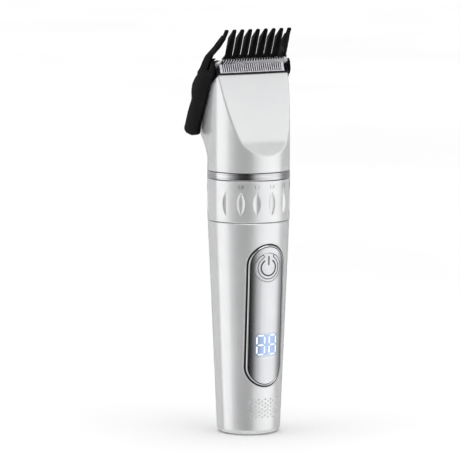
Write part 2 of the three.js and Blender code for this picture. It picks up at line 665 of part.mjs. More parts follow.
// bar behind the moving blade, moved along the blade by the dial
const carrier = union(
  bladeBlock(-16, 16, MOVER_BACK + GAP, 14.6, MOVER_TOP + 0.1, MOVER_PLATE),
  bladeBlock(-2.8, 2.8, MOVER_BACK + GAP, 14.9, MOVER_PLATE - 0.1, 7.0),
);
piece('taper_carrier', carrier, 0x55585e);

// pusher between the dial's groove and the carrier
piece('taper_pusher', union(
  alongX([
    [13.9, 122.6], [15.2, 122.6], [15.2, 143.0], [6.6, 143.0], [6.6, 169.0], [5.2, 169.0],
    [5.2, 141.6], [13.9, 141.6],
  ], -2.5, 2.5),
  box(-1.2, 1.2, 15.1, 18.3, 123.9, 125.2),
), 0x7b7e84);

[-1, 1].forEach((side, i) => {
  const lead = wire([
    [side * 3.0, -8.1, 96.6], [side * 2.6, -7.2, 99.5], [side * 1.9, -3.6, 103], [side * 1.7, -1.4, 107.5],
  ], 0.55);
  piece(`motor_lead_${i + 1}`, lead, i ? 0x9c1f1f : 0x1d1d1f, 0.6);
});

// ---------------------------------------------------------------- guide comb
const TIP_CENTRE = [-9.1, 198.3];
const TIP_ROUND = 0.85;
const combTip = arcPoints(...TIP_CENTRE, TIP_ROUND, 180, 55, 5);
const LIFT = -0.45;                  // height of the comb's underside over the skin plane
const innerTooth = [
  [-5.1, 184.7], ...combTip, [-4.9, 196.0], [0.4, 186.4], atBlade([11, -2.6]), atBlade([11, LIFT]),
  atBlade([6.2, LIFT]), [1.0, 183.1], [-4.0, 185.0],
];
const sidePlate = [
  ...combTip, [-6.4, 196.9], [0.4, 190.0], [6.0, 185.4], [8.8, 181.4], [10.8, 177.6], [15.0, 174.0],
  [17.6, 170.8], [17.8, 167.6], [16.6, 164.4], [19.3, 158.0], [21.6, 149.2], [20.0, 147.4],
  [14.0, 146.3], [9.2, 147.3], [8.3, 151.9], [4.7, 161.9], [1.5, 170.4], [-1.2, 174.2],
  [-2.4, 176.0], [-3.4, 178.6], [-3.4, 182.2], [-2.3, 183.9], [1.0, 178.6], [3.2, 179.2],
  [0.5, 182.3], [-0.9, 184.6], [-2.7, 186.7],
];
const flare = (side) => [
  [18.3, 201], [18.4, 197], [21.3, 186], [22.0, 178], [22.0, 170], [24.2, 149], [24.2, 144],
  [22.0, 144], [22.0, 149], [COMB_INNER, 170], [COMB_INNER, 183.2], [19.9, 186.5], [18.0, 190],
  [16.9, 194], [16.9, 201],
].map(([x, z]) => [side * x, z]);
let comb = alongX(bladeOutline([
  [9.5, LIFT], [21, LIFT], [21, -1.6], [18, -3.4], [12, -3.8], [9.5, -2.4],
]), -COMB_INNER - 0.5, COMB_INNER + 0.5);
for (let i = 1; i < COMB_TEETH - 1; i += 1) {
  const x = (i - (COMB_TEETH - 1) / 2) * COMB_PITCH;
  comb = comb.add(alongX(innerTooth, x - COMB_TOOTH / 2, x + COMB_TOOTH / 2));
}
for (const side of [-1, 1]) {
  const span = (a, b) => [Math.min(side * a, side * b), Math.max(side * a, side * b)];
  const plate = alongX(sidePlate, ...span(16, 25)).intersect(alongY(flare(side), -40, 40));
  const rail = alongX(bladeOutline([
    [0.5, LIFT], [10, LIFT], [10, -2.4], [3.4, -1.7], [0.5, -0.9],
  ]), ...span(19, COMB_INNER + 0.5));
  comb = comb.add(plate).add(rail);
}
piece('guide_comb', comb, BLACK, 0.45);

clipper.updateMatrixWorld(true);

export default clipper;
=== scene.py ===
import math

import bmesh
import bpy
import numpy as np
from mathutils import Matrix, Vector


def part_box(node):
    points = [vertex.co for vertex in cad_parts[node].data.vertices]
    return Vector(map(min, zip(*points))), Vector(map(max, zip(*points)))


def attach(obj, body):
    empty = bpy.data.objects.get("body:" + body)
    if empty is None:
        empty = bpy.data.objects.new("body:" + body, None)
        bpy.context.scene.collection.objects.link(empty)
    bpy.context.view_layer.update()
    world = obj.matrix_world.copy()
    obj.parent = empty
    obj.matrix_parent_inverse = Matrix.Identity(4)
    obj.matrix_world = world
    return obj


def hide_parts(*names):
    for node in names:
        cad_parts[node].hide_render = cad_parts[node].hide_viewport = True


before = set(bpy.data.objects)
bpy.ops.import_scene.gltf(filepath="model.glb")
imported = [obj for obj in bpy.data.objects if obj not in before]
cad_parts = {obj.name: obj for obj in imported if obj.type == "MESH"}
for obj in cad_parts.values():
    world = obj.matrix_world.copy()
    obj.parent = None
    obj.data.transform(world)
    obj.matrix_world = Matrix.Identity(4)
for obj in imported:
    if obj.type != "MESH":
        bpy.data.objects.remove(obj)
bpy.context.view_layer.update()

# Cordless hair clipper with a guide comb. Shapes are worked out in millimetres, in the CAD frame:
# +Z up, -Y the front, the origin in the middle of the base. add() turns them into metres.
MM = 0.001


def span(node, axis):
    """Lowest and highest coordinate of a CAD node along one axis, in millimetres."""
    low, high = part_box(node)
    return low[axis] / MM, high[axis] / MM


X, Y, Z = 0, 1, 2

# ---------------------------------------------------------------- sizes
BARREL_LOW, BARREL_TOP = span("barrel_housing", Z)
BARREL_TAPER = 0.0433
BASE_RADIUS = span("barrel_housing", X)[1] - BARREL_TAPER * BARREL_TOP
BASE_ROUND = 2.5
WALL = 1.8
CAP_RADIUS = span("base_cap", X)[1]
CAP_TOP = span("base_cap", Z)[1]
GAP = 0.3

PANEL_HALF = span("panel_bezel", X)[1]
PANEL_LOW, PANEL_HIGH = span("panel_bezel", Z)
PANEL_CENTRE = (PANEL_LOW + PANEL_HIGH) / 2
PANEL_REACH = (PANEL_HIGH - PANEL_LOW) / 2 - PANEL_HALF
BUTTON_RADIUS = span("power_button", X)[1]
BUTTON_HEIGHT = sum(span("power_button", Z)) / 2
STEM_BACK = span("power_button", Y)[1]
DIGITS_RAISED = 0.6
DIGITS_HEIGHT = sum(span("digit_display", Z)) / 2 + DIGITS_RAISED

DIAL_LOW, DIAL_HIGH = span("length_dial", Z)
DIAL_RADIUS = span("length_dial", X)[1]
FLUTES = 16
FLUTE_OFFSET = 4.0
FLUTE_HALF = 11.7 / 2
FLUTE_WIDE = 3.9 / 2
FLUTE_DEPTH = 0.75
RING_LOW, RING_HIGH = span("trim_ring", Z)
RING_RADIUS = span("trim_ring", X)[1]
SLEEVE = 17.9

HEAD_LOW = span("head_housing", Z)[0]
HEAD_RADIUS = 20.2
CREASE = (-15.6, 144.0)
FACE_TOP = (-4.3, 177.2)
LIP_BOTTOM = (-20.9, 137.0)
HEEL = [
    (129.7, 20.2, 2.0), (136, 20.2, 2.0), (140, 20.3, 2.3), (144, 20.9, 2.9), (147.2, 21.6, 3.7),
    (149.4, 21.5, 4.2), (153, 19.9, 4.6), (158, 17.9, 5.0), (164, 15.8, 5.4), (170, 14.2, 5.8),
    (186, 11.8, 6.0),
]

BLADE_LEAN = math.radians(53)
ALONG = np.array([math.sin(BLADE_LEAN), -math.cos(BLADE_LEAN)])
INWARD = np.array([-math.cos(BLADE_LEAN), -math.sin(BLADE_LEAN)])
TIP_DROP = 1.5
SKIN_ORIGIN = np.array([-4.2, 184.6]) - TIP_DROP * INWARD
BLADE_HALF = span("fixed_blade", X)[1]
BLADE_LENGTH = 20.0
BLADE_THICK = 2.4
FIXED_TEETH, FIXED_PITCH = 25, 1.44
MOVER_HALF = span("moving_blade", X)[1]
MOVER_TEETH, MOVER_PITCH = 29, 1.21
SEAT_DEPTH = 7.85

COMB_TEETH, COMB_PITCH, COMB_TOOTH = 9, 4.4, 1.45
COMB_INNER = BLADE_HALF + 0.3


# ---------------------------------------------------------------- materials
def nodes_of(name):
    """New material with a shader and texture coordinates."""
    mat = bpy.data.materials.new(name)
    mat.use_nodes = True
    tree = mat.node_tree
    tree.nodes.clear()
    out = tree.nodes.new("ShaderNodeOutputMaterial")
    shader = tree.nodes.new("ShaderNodeBsdfPrincipled")
    tree.links.new(shader.outputs[0], out.inputs[0])
    coords = tree.nodes.new("ShaderNodeTexCoord")
    return mat, tree, shader, coords


def noise(tree, coords, scale, stretch=(1, 1, 1), detail=3.0, rough=0.55):
    mapping = tree.nodes.new("ShaderNodeMapping")
    mapping.inputs["Scale"].default_value = stretch
    tree.links.new(coords.outputs["Object"], mapping.inputs["Vector"])
    tex = tree.nodes.new("ShaderNodeTexNoise")
    tex.inputs["Scale"].default_value = scale
    tex.inputs["Detail"].default_value = detail
    tex.inputs["Roughness"].default_value = rough
    tree.links.new(mapping.outputs[0], tex.inputs["Vector"])
    return tex.outputs["Fac"]


def ramp(tree, value, stops):
    node = tree.nodes.new("ShaderNodeValToRGB")
    tree.links.new(value, node.inputs[0])
    elements = node.color_ramp.elements
    while len(elements) < len(stops):
        elements.new(0.5)
    for element, (at, colour) in zip(elements, stops):
        element.position = at
        element.color = (*colour, 1)
    return node.outputs[0]


def scaled(tree, value, low, high, a, b):
    node = tree.nodes.new("ShaderNodeMapRange")
    node.inputs["From Min"].default_value = low
    node.inputs["From Max"].default_value = high
    node.inputs["To Min"].default_value = a
    node.inputs["To Max"].default_value = b
    tree.links.new(value, node.inputs["Value"])
    return node.outputs[0]


def bumped(tree, shader, height, strength, depth):
    node = tree.nodes.new("ShaderNodeBump")
    node.inputs["Strength"].default_value = strength
    node.inputs["Distance"].default_value = depth
    tree.links.new(height, node.inputs["Height"])
    tree.links.new(node.outputs[0], shader.inputs["Normal"])


def maths(tree, operation, a, b=None):
    """Maths node on sockets, or on numbers given as floats."""
    node = tree.nodes.new("ShaderNodeMath")
    node.operation = operation
    for i, value in enumerate((a, b)):
        if isinstance(value, float):
            node.inputs[i].default_value = value
        elif value is not None:
            tree.links.new(value, node.inputs[i])
    return node.outputs[0]


def product(tree, a, b):
    """Two colours multiplied: a colour mix has them on sockets 6 and 7, and gives output 2."""
    node = tree.nodes.new("ShaderNodeMix")
    node.data_type = "RGBA"
    node.blend_type = "MULTIPLY"
    node.inputs[0].default_value = 1.0
    tree.links.new(a, node.inputs[6])
    tree.links.new(b, node.inputs[7])
    return node.outputs[2]


def flank_shade(tree, coords, shade):
    """Shade of the faces that point sideways, against 1 on the others."""
    axes = tree.nodes.new("ShaderNodeSeparateXYZ")
    tree.links.new(coords.outputs["Normal"], axes.inputs[0])
    sideways = maths(tree, "ABSOLUTE", axes.outputs["X"])
    return ramp(tree, sideways, [(0.45, (1.0,) * 3), (0.8, (shade,) * 3)])


def finish(name, dark, light, rough, metal=0.0, blotch=90.0, grain=2500.0, bump=0.1,
           depth=0.00002, stretch=(1, 1, 1), coat=0.0, coat_rough=0.05, specular=0.5,
           flanks=None):
    """Moulded, wrapped or machined surface: slow colour and gloss variation and a fine grain, and,
    when asked, painted shade darkening the faces that point sideways.
    """
    mat, tree, shader, coords = nodes_of(name)
    slow = noise(tree, coords, blotch, stretch)
    colour = ramp(tree, slow, [(0.35, dark), (0.65, light)])
    # painted shade: faces that point sideways get a darker colour
    if flanks is not None:
        colour = product(tree, colour, flank_shade(tree, coords, flanks))
    tree.links.new(colour, shader.inputs["Base Color"])
    tree.links.new(scaled(tree, slow, 0.3, 0.7, rough[0], rough[1]), shader.inputs["Roughness"])
    bumped(tree, shader, noise(tree, coords, grain, stretch, 2.0), bump, depth)
    shader.inputs["Metallic"].default_value = metal
    shader.inputs["Coat Weight"].default_value = coat
    shader.inputs["Coat Roughness"].default_value = coat_rough
    shader.inputs["Specular IOR Level"].default_value = specular
    return mat


BRUSHED_ROUND = (0.02, 0.02, 1.0)
BRUSHED_ACROSS = (0.04, 1.0, 1.0)
pearl = finish("pearl", (0.885, 0.89, 0.90), (0.915, 0.92, 0.925), (0.12, 0.17), metal=0.43,
               blotch=40, grain=5200, bump=0.03, coat=0.6, coat_rough=0.04)
pearl_dial = finish("pearl_dial", (0.885, 0.89, 0.90), (0.915, 0.92, 0.925), (0.12, 0.18),
                    metal=0.43, blotch=45, grain=5000, bump=0.03, coat=0.6, coat_rough=0.04)
ring_metal = finish("ring_metal", (0.62, 0.62, 0.64), (0.82, 0.82, 0.84), (0.10, 0.20), metal=1.0,
                    blotch=2200, grain=5200, bump=0.22, stretch=BRUSHED_ROUND)
chrome = finish("chrome", (0.84, 0.85, 0.87), (0.90, 0.91, 0.92), (0.04, 0.08), metal=1.0,
                grain=3500, bump=0.02)
button_silver = finish("button_silver", (0.74, 0.75, 0.77), (0.80, 0.81, 0.83), (0.20, 0.27),
                       metal=0.75, blotch=300, grain=4200, bump=0.05)
mark_grey = finish("mark_grey", (0.07, 0.07, 0.08), (0.10, 0.10, 0.11), (0.35, 0.5), blotch=700)
dial_print = finish("dial_print", (0.13, 0.13, 0.14), (0.18, 0.18, 0.19), (0.4, 0.5), blotch=900)
# Black for the rings in the gaps round the bezel: painted shadow standing in for the shade in those
# gaps.
gap_shadow_black = finish("gap_shadow_black", (0.012, 0.012, 0.013), (0.022, 0.022, 0.024), (0.35, 0.5),
                      blotch=500, grain=2600, bump=0.2)
black_plastic = finish("black_plastic", (0.012, 0.012, 0.014), (0.022, 0.022, 0.025), (0.3, 0.42),
                       blotch=160, grain=3200, bump=0.25)
frame_black = finish("frame_black", (0.008, 0.008, 0.010), (0.014, 0.014, 0.016), (0.3, 0.42),
                     blotch=160, grain=3200, bump=0.2, specular=0.25)
comb_black = finish("comb_black", (0.002, 0.002, 0.0025), (0.005, 0.005, 0.006), (0.30, 0.40),
                    blotch=120, grain=2400, bump=0.18, depth=0.00003, specular=0.07)
# Both blade finishes paint shade on the sideways faces of their teeth, so the gaps between teeth
# read darker.
blade_steel = finish("blade_steel", (0.86, 0.86, 0.88), (0.94, 0.94, 0.96), (0.14, 0.24),
                     metal=0.35, blotch=900, grain=3600, bump=0.12, stretch=BRUSHED_ACROSS,
                     flanks=0.06)
blade_ceramic = finish("blade_ceramic", (0.82, 0.80, 0.85), (0.90, 0.88, 0.93), (0.22, 0.30),
                       metal=0.35, blotch=600, grain=3800, bump=0.08, flanks=0.28)
socket_steel = finish("socket_steel", (0.5, 0.5, 0.52), (0.62, 0.62, 0.64), (0.25, 0.35), metal=1.0,
                      blotch=800, grain=4000)
screw_steel = finish("screw_steel", (0.42, 0.42, 0.43), (0.56, 0.56, 0.57), (0.28, 0.4), metal=1.0,
                     blotch=1200, grain=4200)
spring_steel = finish("spring_steel", (0.46, 0.47, 0.5), (0.6, 0.61, 0.64), (0.22, 0.34), metal=1.0,
                      blotch=900, grain=4200, stretch=BRUSHED_ACROSS)
shaft_steel = finish("shaft_steel", (0.6, 0.6, 0.62), (0.72, 0.72, 0.74), (0.12, 0.2), metal=1.0,
                     blotch=1500, grain=4600, stretch=BRUSHED_ROUND)
motor_steel = finish("motor_steel", (0.42, 0.42, 0.42), (0.55, 0.55, 0.54), (0.3, 0.42), metal=1.0,
                     blotch=600, grain=3800, stretch=BRUSHED_ROUND)
grey_frame = finish("grey_frame", (0.085, 0.088, 0.095), (0.12, 0.123, 0.13), (0.42, 0.55),
                    blotch=180, grain=2400, bump=0.3)
cell_wrap = finish("cell_wrap", (0.025, 0.13, 0.36), (0.04, 0.18, 0.45), (0.25, 0.35), blotch=70,
                   grain=900, bump=0.15, coat=0.4)
board_green = finish("board_green", (0.012, 0.085, 0.04), (0.025, 0.14, 0.065), (0.28, 0.4),
                     blotch=520, grain=1800, bump=0.25, coat=0.3)
lead_black = finish("lead_black", (0.012, 0.012, 0.012), (0.03, 0.03, 0.03), (0.4, 0.55))
lead_red = finish("lead_red", (0.32, 0.02, 0.02), (0.45, 0.035, 0.03), (0.4, 0.55))
cam_nylon = finish("cam_nylon", (0.62, 0.58, 0.47), (0.72, 0.68, 0.57), (0.38, 0.5), blotch=220)


# Painted blue glow in the lens from the lit digits: half sizes of the box round both digits, and
# how far the glow fades out past it.
GLOW_HALF_WIDE, GLOW_HALF_TALL, GLOW_REACH = 4.6, 4.0, 2.9


def mirror_panel():
    """Mirror-finish lens, with a painted blue glow where the lit digits shine through and painted
    shade darkening its left and right edges.
    """
    mat, tree, shader, coords = nodes_of("mirror_panel")
    slow = noise(tree, coords, 55)
    tree.links.new(scaled(tree, slow, 0.3, 0.7, 0.08, 0.11), shader.inputs["Roughness"])
    bumped(tree, shader, noise(tree, coords, 3000), 0.015, 0.00002)
    shader.inputs["Metallic"].default_value = 0.92
    shader.inputs["Coat Weight"].default_value = 0.3
    axes = tree.nodes.new("ShaderNodeSeparateXYZ")
    tree.links.new(coords.outputs["Object"], axes.inputs[0])

    # distance outside a box that holds both digits, in metres
    across = maths(tree, "ABSOLUTE", axes.outputs["X"])
    across = maths(tree, "MAXIMUM", maths(tree, "SUBTRACT", across, GLOW_HALF_WIDE * MM), 0.0)
    up = maths(tree, "SUBTRACT", axes.outputs["Z"], DIGITS_HEIGHT * MM)
    up = maths(tree, "SUBTRACT", maths(tree, "ABSOLUTE", up), GLOW_HALF_TALL * MM)
    up = maths(tree, "MAXIMUM", up, 0.0)
    squares = [maths(tree, "MULTIPLY", side, side) for side in (across, up)]
    away = maths(tree, "SQRT", maths(tree, "ADD", *squares))
    glow = maths(tree, "ADD", scaled(tree, away, 0.0, GLOW_REACH * MM, 0.95, 0.0),
                 scaled(tree, slow, 0.3, 0.7, -0.05, 0.05))
    # painted blue glow of the lit digits, strongest on the box round them and fading out past it
    glow_tint = ramp(tree, glow, [(0.0, (0.74, 0.75, 0.77)), (0.06, (0.79, 0.80, 0.815)),
                             (0.45, (0.62, 0.68, 0.77)), (0.9, (0.43, 0.56, 0.84)),
                             (1.0, (0.46, 0.59, 0.87))])
    # painted shade: the lens gets darker towards its left and right edges, a wide fade on the left
    # and a narrow one on the right
    sideways = scaled(tree, axes.outputs["X"], -PANEL_HALF * MM, PANEL_HALF * MM, 0.0, 1.0)
    shade = ramp(tree, sideways, [(0.04, (0.16,) * 3), (0.14, (0.42,) * 3), (0.22, (0.74,) * 3),
                                  (0.36, (0.96,) * 3), (0.5, (1.0,) * 3), (0.87, (1.0,) * 3),
                                  (0.93, (0.55,) * 3), (0.98, (0.12,) * 3)])
    tree.links.new(product(tree, glow_tint, shade), shader.inputs["Base Color"])
    return mat


def digit_light():
    """Lit bars of the display."""
    mat, tree, shader, coords = nodes_of("display_light")
    slow = noise(tree, coords, 900)
    glow_tint = ramp(tree, slow, [(0.3, (0.86, 0.92, 1.0)), (0.7, (0.97, 0.985, 1.0))])
    tree.links.new(glow_tint, shader.inputs["Emission Color"])
    tree.links.new(glow_tint, shader.inputs["Base Color"])
    shader.inputs["Emission Strength"].default_value = 0.5
    tree.links.new(scaled(tree, slow, 0.3, 0.7, 0.3, 0.45), shader.inputs["Roughness"])
    return mat


mirror = mirror_panel()
display_light = digit_light()


# ---------------------------------------------------------------- mesh helpers
def new_mesh(name, points, faces):
    mesh = bpy.data.meshes.new(name)
    mesh.from_pydata([tuple(map(float, p)) for p in points], [], faces)
    mesh.update()
    return mesh


def outward(mesh):
    """Turns a closed mesh's faces to point out."""
    bm = bmesh.new()
    bm.from_mesh(mesh)
    bmesh.ops.recalc_face_normals(bm, faces=bm.faces)
    if bm.calc_volume(signed=True) < 0:
        bmesh.ops.reverse_faces(bm, faces=bm.faces)
    bm.to_mesh(mesh)
    bm.free()
    return mesh


def add(name, mesh, material, body, stands_for=(), crease=30.0, normals=None):
    """Shows a millimetre mesh as a piece that rides on a body."""
    if normals is None:
        outward(mesh)
    mesh.name = name
    mesh.materials.clear()
    mesh.materials.append(material)
    mesh.shade_smooth()
    if normals is None:
        mesh.set_sharp_from_angle(angle=math.radians(crease))
    else:
        mesh.normals_split_custom_set(normals(mesh))
    mesh.transform(Matrix.Scale(MM, 4))
    obj = bpy.data.objects.new(name, mesh)
    bpy.context.scene.collection.objects.link(obj)
    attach(obj, body)
    if stands_for:
        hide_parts(*stands_for)
    return obj


def boolean(base, tool, operation="DIFFERENCE"):
    """Solid boolean of two closed meshes."""
    holders = []
    for mesh in (base, tool):
        outward(mesh)
        holder = bpy.data.objects.new("holder", mesh)
        bpy.context.scene.collection.objects.link(holder)
        holders.append(holder)
    modifier = holders[0].modifiers.new("boolean", "BOOLEAN")
    modifier.object = holders[1]
    modifier.operation = operation
    modifier.solver = "MANIFOLD"
    graph = bpy.context.evaluated_depsgraph_get()
    result = bpy.data.meshes.new_from_object(holders[0].evaluated_get(graph))
    for holder in holders:
        bpy.data.objects.remove(holder)
    return result


def union(meshes):
    result = meshes[0]
    for mesh in meshes[1:]:
        result = boolean(result, mesh, "UNION")
    return result


def bevelled(mesh, width, segments=2, sharper_than=30.0):
    bm = bmesh.new()
    bm.from_mesh(mesh)
    bmesh.ops.remove_doubles(bm, verts=bm.verts, dist=1e-4)
    bmesh.ops.dissolve_limit(bm, angle_limit=math.radians(1), verts=bm.verts, edges=bm.edges)
    bmesh.ops.recalc_face_normals(bm, faces=bm.faces)
    limit = math.radians(sharper_than)
    edges = [e for e in bm.edges if len(e.link_faces) == 2 and e.calc_face_angle() > limit]
    bmesh.ops.bevel(bm, geom=edges, offset=width, offset_type="OFFSET", segments=segments,
                    profile=0.5, affect="EDGES", clamp_overlap=True)
    bm.to_mesh(mesh)
    bm.free()
    return mesh


def tube_of(rows):
    """Closed shell from rows of points: each row is a loop, and the last row joins the first."""
    rows = [np.asarray(r, float) for r in rows]
    count = len(rows[0])
    faces = []
    for k in range(len(rows)):
        a = k * count
        b = ((k + 1) % len(rows)) * count
        for i in range(count):
            j = (i + 1) % count
            faces.append((a + i, a + j, b + j, b + i))
    return new_mesh("tube", np.concatenate(rows), faces)


def stack_of(rows):
    """Closed solid from rows of points, with a flat cap on the first and the last."""
    rows = [np.asarray(r, float) for r in rows]
    count = len(rows[0])
    faces = [tuple(reversed(range(count)))]
    for k in range(len(rows) - 1):
        a = k * count
        for i in range(count):
            j = (i + 1) % count
            faces.append((a + i, a + j, a + count + j, a + count + i))
    faces.append(tuple((len(rows) - 1) * count + i for i in range(count)))
    return new_mesh("stack", np.concatenate(rows), faces)


def circle(radius, z, around, x=0.0, y=0.0):
    angle = np.arange(around) * 2 * math.pi / around
    return np.stack([x + radius * np.cos(angle), y + radius * np.sin(angle),
                     np.full(around, float(z))], 1)


def lathe(profile, around=160, closed=True, x=0.0, y=0.0):
    rows = [circle(r, z, around, x, y) for r, z in profile]
    return tube_of(rows) if closed else stack_of(rows)


def arc(cx, cy, radius, start, end, steps):
    angles = np.radians(np.linspace(start, end, steps + 1))
    return [(cx + radius * math.cos(a), cy + radius * math.sin(a)) for a in angles]


def rounded(points, size, steps=4):
    """Outline with each corner rounded off, by at most size along its edges."""
    points = [np.array(p, float) for p in points]
    made = []
    for i, p in enumerate(points):
        a, b = points[i - 1], points[(i + 1) % len(points)]
        da, db = np.linalg.norm(a - p), np.linalg.norm(b - p)
        cut = min(size, 0.45 * da, 0.45 * db)
        start, end = p + (a - p) / da * cut, p + (b - p) / db * cut
        for k in range(steps + 1):
            t = k / steps
            made.append((1 - t) ** 2 * start + 2 * t * (1 - t) * p + t ** 2 * end)
    return [tuple(q) for q in made]


def prism(outline, low, high, place):
    """Outline of [a, b] points swept from low to high; place(a, b, c) gives the point."""
    lower = [place(a, b, low) for a, b in outline]
    upper = [place(a, b, high) for a, b in outline]
    return outward(stack_of([lower, upper]))


def along_x(outline, x0, x1):
    return prism(outline, x0, x1, lambda a, b, c: (c, a, b))


def along_y(outline, y0, y1):
    return prism(outline, y0, y1, lambda a, b, c: (a, c, b))


def along_z(outline, z0, z1):
    return prism(outline, z0, z1, lambda a, b, c: (a, b, c))


def at_blade(s, t):
    """[y, z] of a point s back along the blade's skin plane and t into it."""
    return tuple(SKIN_ORIGIN + s * ALONG + t * INWARD)


def blade_x(outline, x0, x1):
    return along_x([at_blade(s, t) for s, t in outline], x0, x1)


def blade_plate(outline, t0, t1):
    """[x, s] outline swept through the blade's thickness."""
    return prism(outline, t0, t1, lambda a, b, c: (a, *at_blade(b, c)))


# ---------------------------------------------------------------- barrel
def barrel_radius(z):
    return BASE_RADIUS + BARREL_TAPER * z


DOT_ROWS, DOT_COLUMNS = 5, 11
DOT_PITCH, DOT_RISE = 1.63, 1.95
DOT_LOW = 9.0
DOT_RADIUS, DOT_DEPTH = 0.48, 0.42


def dots():
    """Middles of the staggered dots on the lower front, as [distance round the barrel, height]."""
    made = []
    for column in range(DOT_COLUMNS):
        for row in range(DOT_ROWS):
            lift = 0.5 if column % 2 else 0.0
            across = (column - (DOT_COLUMNS - 1) / 2) * DOT_PITCH
            made.append((across, DOT_LOW + (row + lift) * DOT_RISE))
    return made


def barrel_surface(angle, z):
    """Radius at an angle from the front (radians) and a height, with the rounded foot and dots."""
    z = np.asarray(z, float)
    angle = np.asarray(angle, float)
    radius = barrel_radius(z)
    foot = np.clip((BARREL_LOW + BASE_ROUND - z) / BASE_ROUND, 0, 1)
    radius = radius - BASE_ROUND * (1 - np.sqrt(1 - np.minimum(foot, 0.999) ** 2))
    round_front = angle * barrel_radius(13.0)
    dip = np.zeros_like(radius + angle)
    for across, height in dots():
        away = np.hypot(round_front - across, z - height) / DOT_RADIUS
        dip = np.maximum(dip, np.clip(1.15 * (1 - away ** 2), 0, 1))
    return radius - DOT_DEPTH * dip


def round_point(radius, angle, z):
    """Point at an angle from the front (-Y), positive towards +X."""
    return np.stack([radius * np.sin(angle), -radius * np.cos(angle), z + 0 * radius], -1)


def barrel_angles():
    fine = np.linspace(-36, 36, 337)
    coarse = np.linspace(36, 324, 193)[1:-1]
    return np.radians(np.concatenate([fine, coarse]))


def barrel_shell():
    angles = barrel_angles()
    wrapped = (angles + math.pi) % (2 * math.pi) - math.pi
    foot = [BARREL_LOW + BASE_ROUND * (1 - math.cos(math.radians(a))) for a in range(2, 91, 11)]
    heights = [*foot, 4.0, 5.2, *np.arange(6.2, 19.0, 0.14),
               *np.linspace(20, BARREL_TOP - 0.25, 30)]
    rows = [round_point(np.full(len(angles), CAP_RADIUS + GAP), angles, BARREL_LOW)]
    for z in heights:
        rows.append(round_point(barrel_surface(wrapped, np.full(len(angles), z)), angles, z))
    top = barrel_radius(BARREL_TOP)
    inside = [(top - 0.2, BARREL_TOP), (top - WALL, BARREL_TOP), (barrel_radius(60) - WALL, 60),
              (barrel_radius(6) - WALL, 6), (CAP_RADIUS + GAP, 4.4)]
    for r, z in inside:
        rows.append(round_point(np.full(len(angles), r), angles, z))
    return tube_of(rows)


def skin_normals(surface):
    """Corner normals from the true surface on outer faces, and flat ones elsewhere."""
    def normals(mesh):
        count = len(mesh.vertices)
        co = np.zeros(count * 3)
        mesh.vertices.foreach_get("co", co)
        co = co.reshape(-1, 3)
        angle = np.arctan2(co[:, 0], -co[:, 1])
        step = 0.02

        def point(da, dz):
            a, z = angle + da, co[:, 2] + dz
            return round_point(surface(a, z), a, z)

        across = point(step / 16, 0) - point(-step / 16, 0)
        up = point(0, step) - point(0, -step)
        normal = np.cross(across, up)
        normal /= np.linalg.norm(normal, axis=1)[:, None]
        skin = np.abs(np.hypot(co[:, 0], co[:, 1]) - surface(angle, co[:, 2])) < 0.03
        made = []
        for polygon in mesh.polygons:
            flat = polygon.normal
            ids = list(polygon.vertices)
            middle = normal[ids].mean(0)
            outer = skin[ids].all() and float(np.dot(middle, flat)) > 0.5
            for i in ids:
                made.append(tuple(normal[i]) if outer else tuple(flat))
        return made
    return normals


def oval(inset, turn_steps=40, run_steps=24):
    """Upright oval with round ends, at a distance inside the panel's edge, as [x, z]."""
    r = PANEL_HALF - inset
    top, bottom = PANEL_CENTRE + PANEL_REACH, PANEL_CENTRE - PANEL_REACH
    points = arc(0, top, r, 0, 180, turn_steps)
    points += [(-r, z) for z in np.linspace(top, bottom, run_steps + 1)[1:-1]]
    points += arc(0, bottom, r, 180, 360, turn_steps)
    points += [(r, z) for z in np.linspace(bottom, top, run_steps + 1)[1:-1]]
    return points


def on_skin(x, z, proud):
    """Point in front of the barrel's face by proud, at [x, z] as seen from the front."""
    reach = barrel_radius(z) + proud
    return (x, -math.sqrt(max(reach * reach - x * x, 0.0)), z)


def panel_ring(profile):
    """Ring round the panel with a section of [inset, proud] points."""
    return tube_of([[on_skin(x, z, proud) for x, z in oval(inset)] for inset, proud in profile])


barrel = boolean(barrel_shell(), along_y(oval(-GAP), -40, -6))
add("barrel", barrel, pearl, "handle", ["barrel_housing"],
    normals=skin_normals(barrel_surface))
add("panel_lip", panel_ring([
    (-0.30, -0.9), (-0.30, -0.10), (-0.34, -0.02), (-0.42, 0.04), (-0.54, 0.065), (-0.68, 0.05),
    (-0.80, -0.01), (-0.80, -0.05), (-0.34, -0.5), (-0.34, -0.9),
]), pearl, "handle", crease=60)
# Black ring in the gap between the barrel and the bezel: painted shadow.
add("panel_gap_shadow", panel_ring([
    (-0.24, -0.9), (-0.24, -0.22), (-0.16, -0.14), (0.46, -0.14), (0.50, -0.2), (0.50, -0.9),
]), gap_shadow_black, "handle")
add("bezel", panel_ring([
    (0.52, -0.7), (0.52, 0.22), (0.57, 0.36), (0.66, 0.47), (0.78, 0.52), (0.90, 0.50),
    (0.99, 0.43), (1.04, 0.33), (1.06, 0.2), (1.06, -0.7),
]), chrome, "handle", ["panel_bezel"], crease=60)
# Black ring in the gap between the bezel and the lens: painted shadow.
add("lens_gap_shadow", panel_ring([
    (1.08, -0.7), (1.08, 0.10), (1.13, 0.16), (1.35, 0.16), (1.40, 0.10), (1.40, -0.7),
]), gap_shadow_black, "handle")


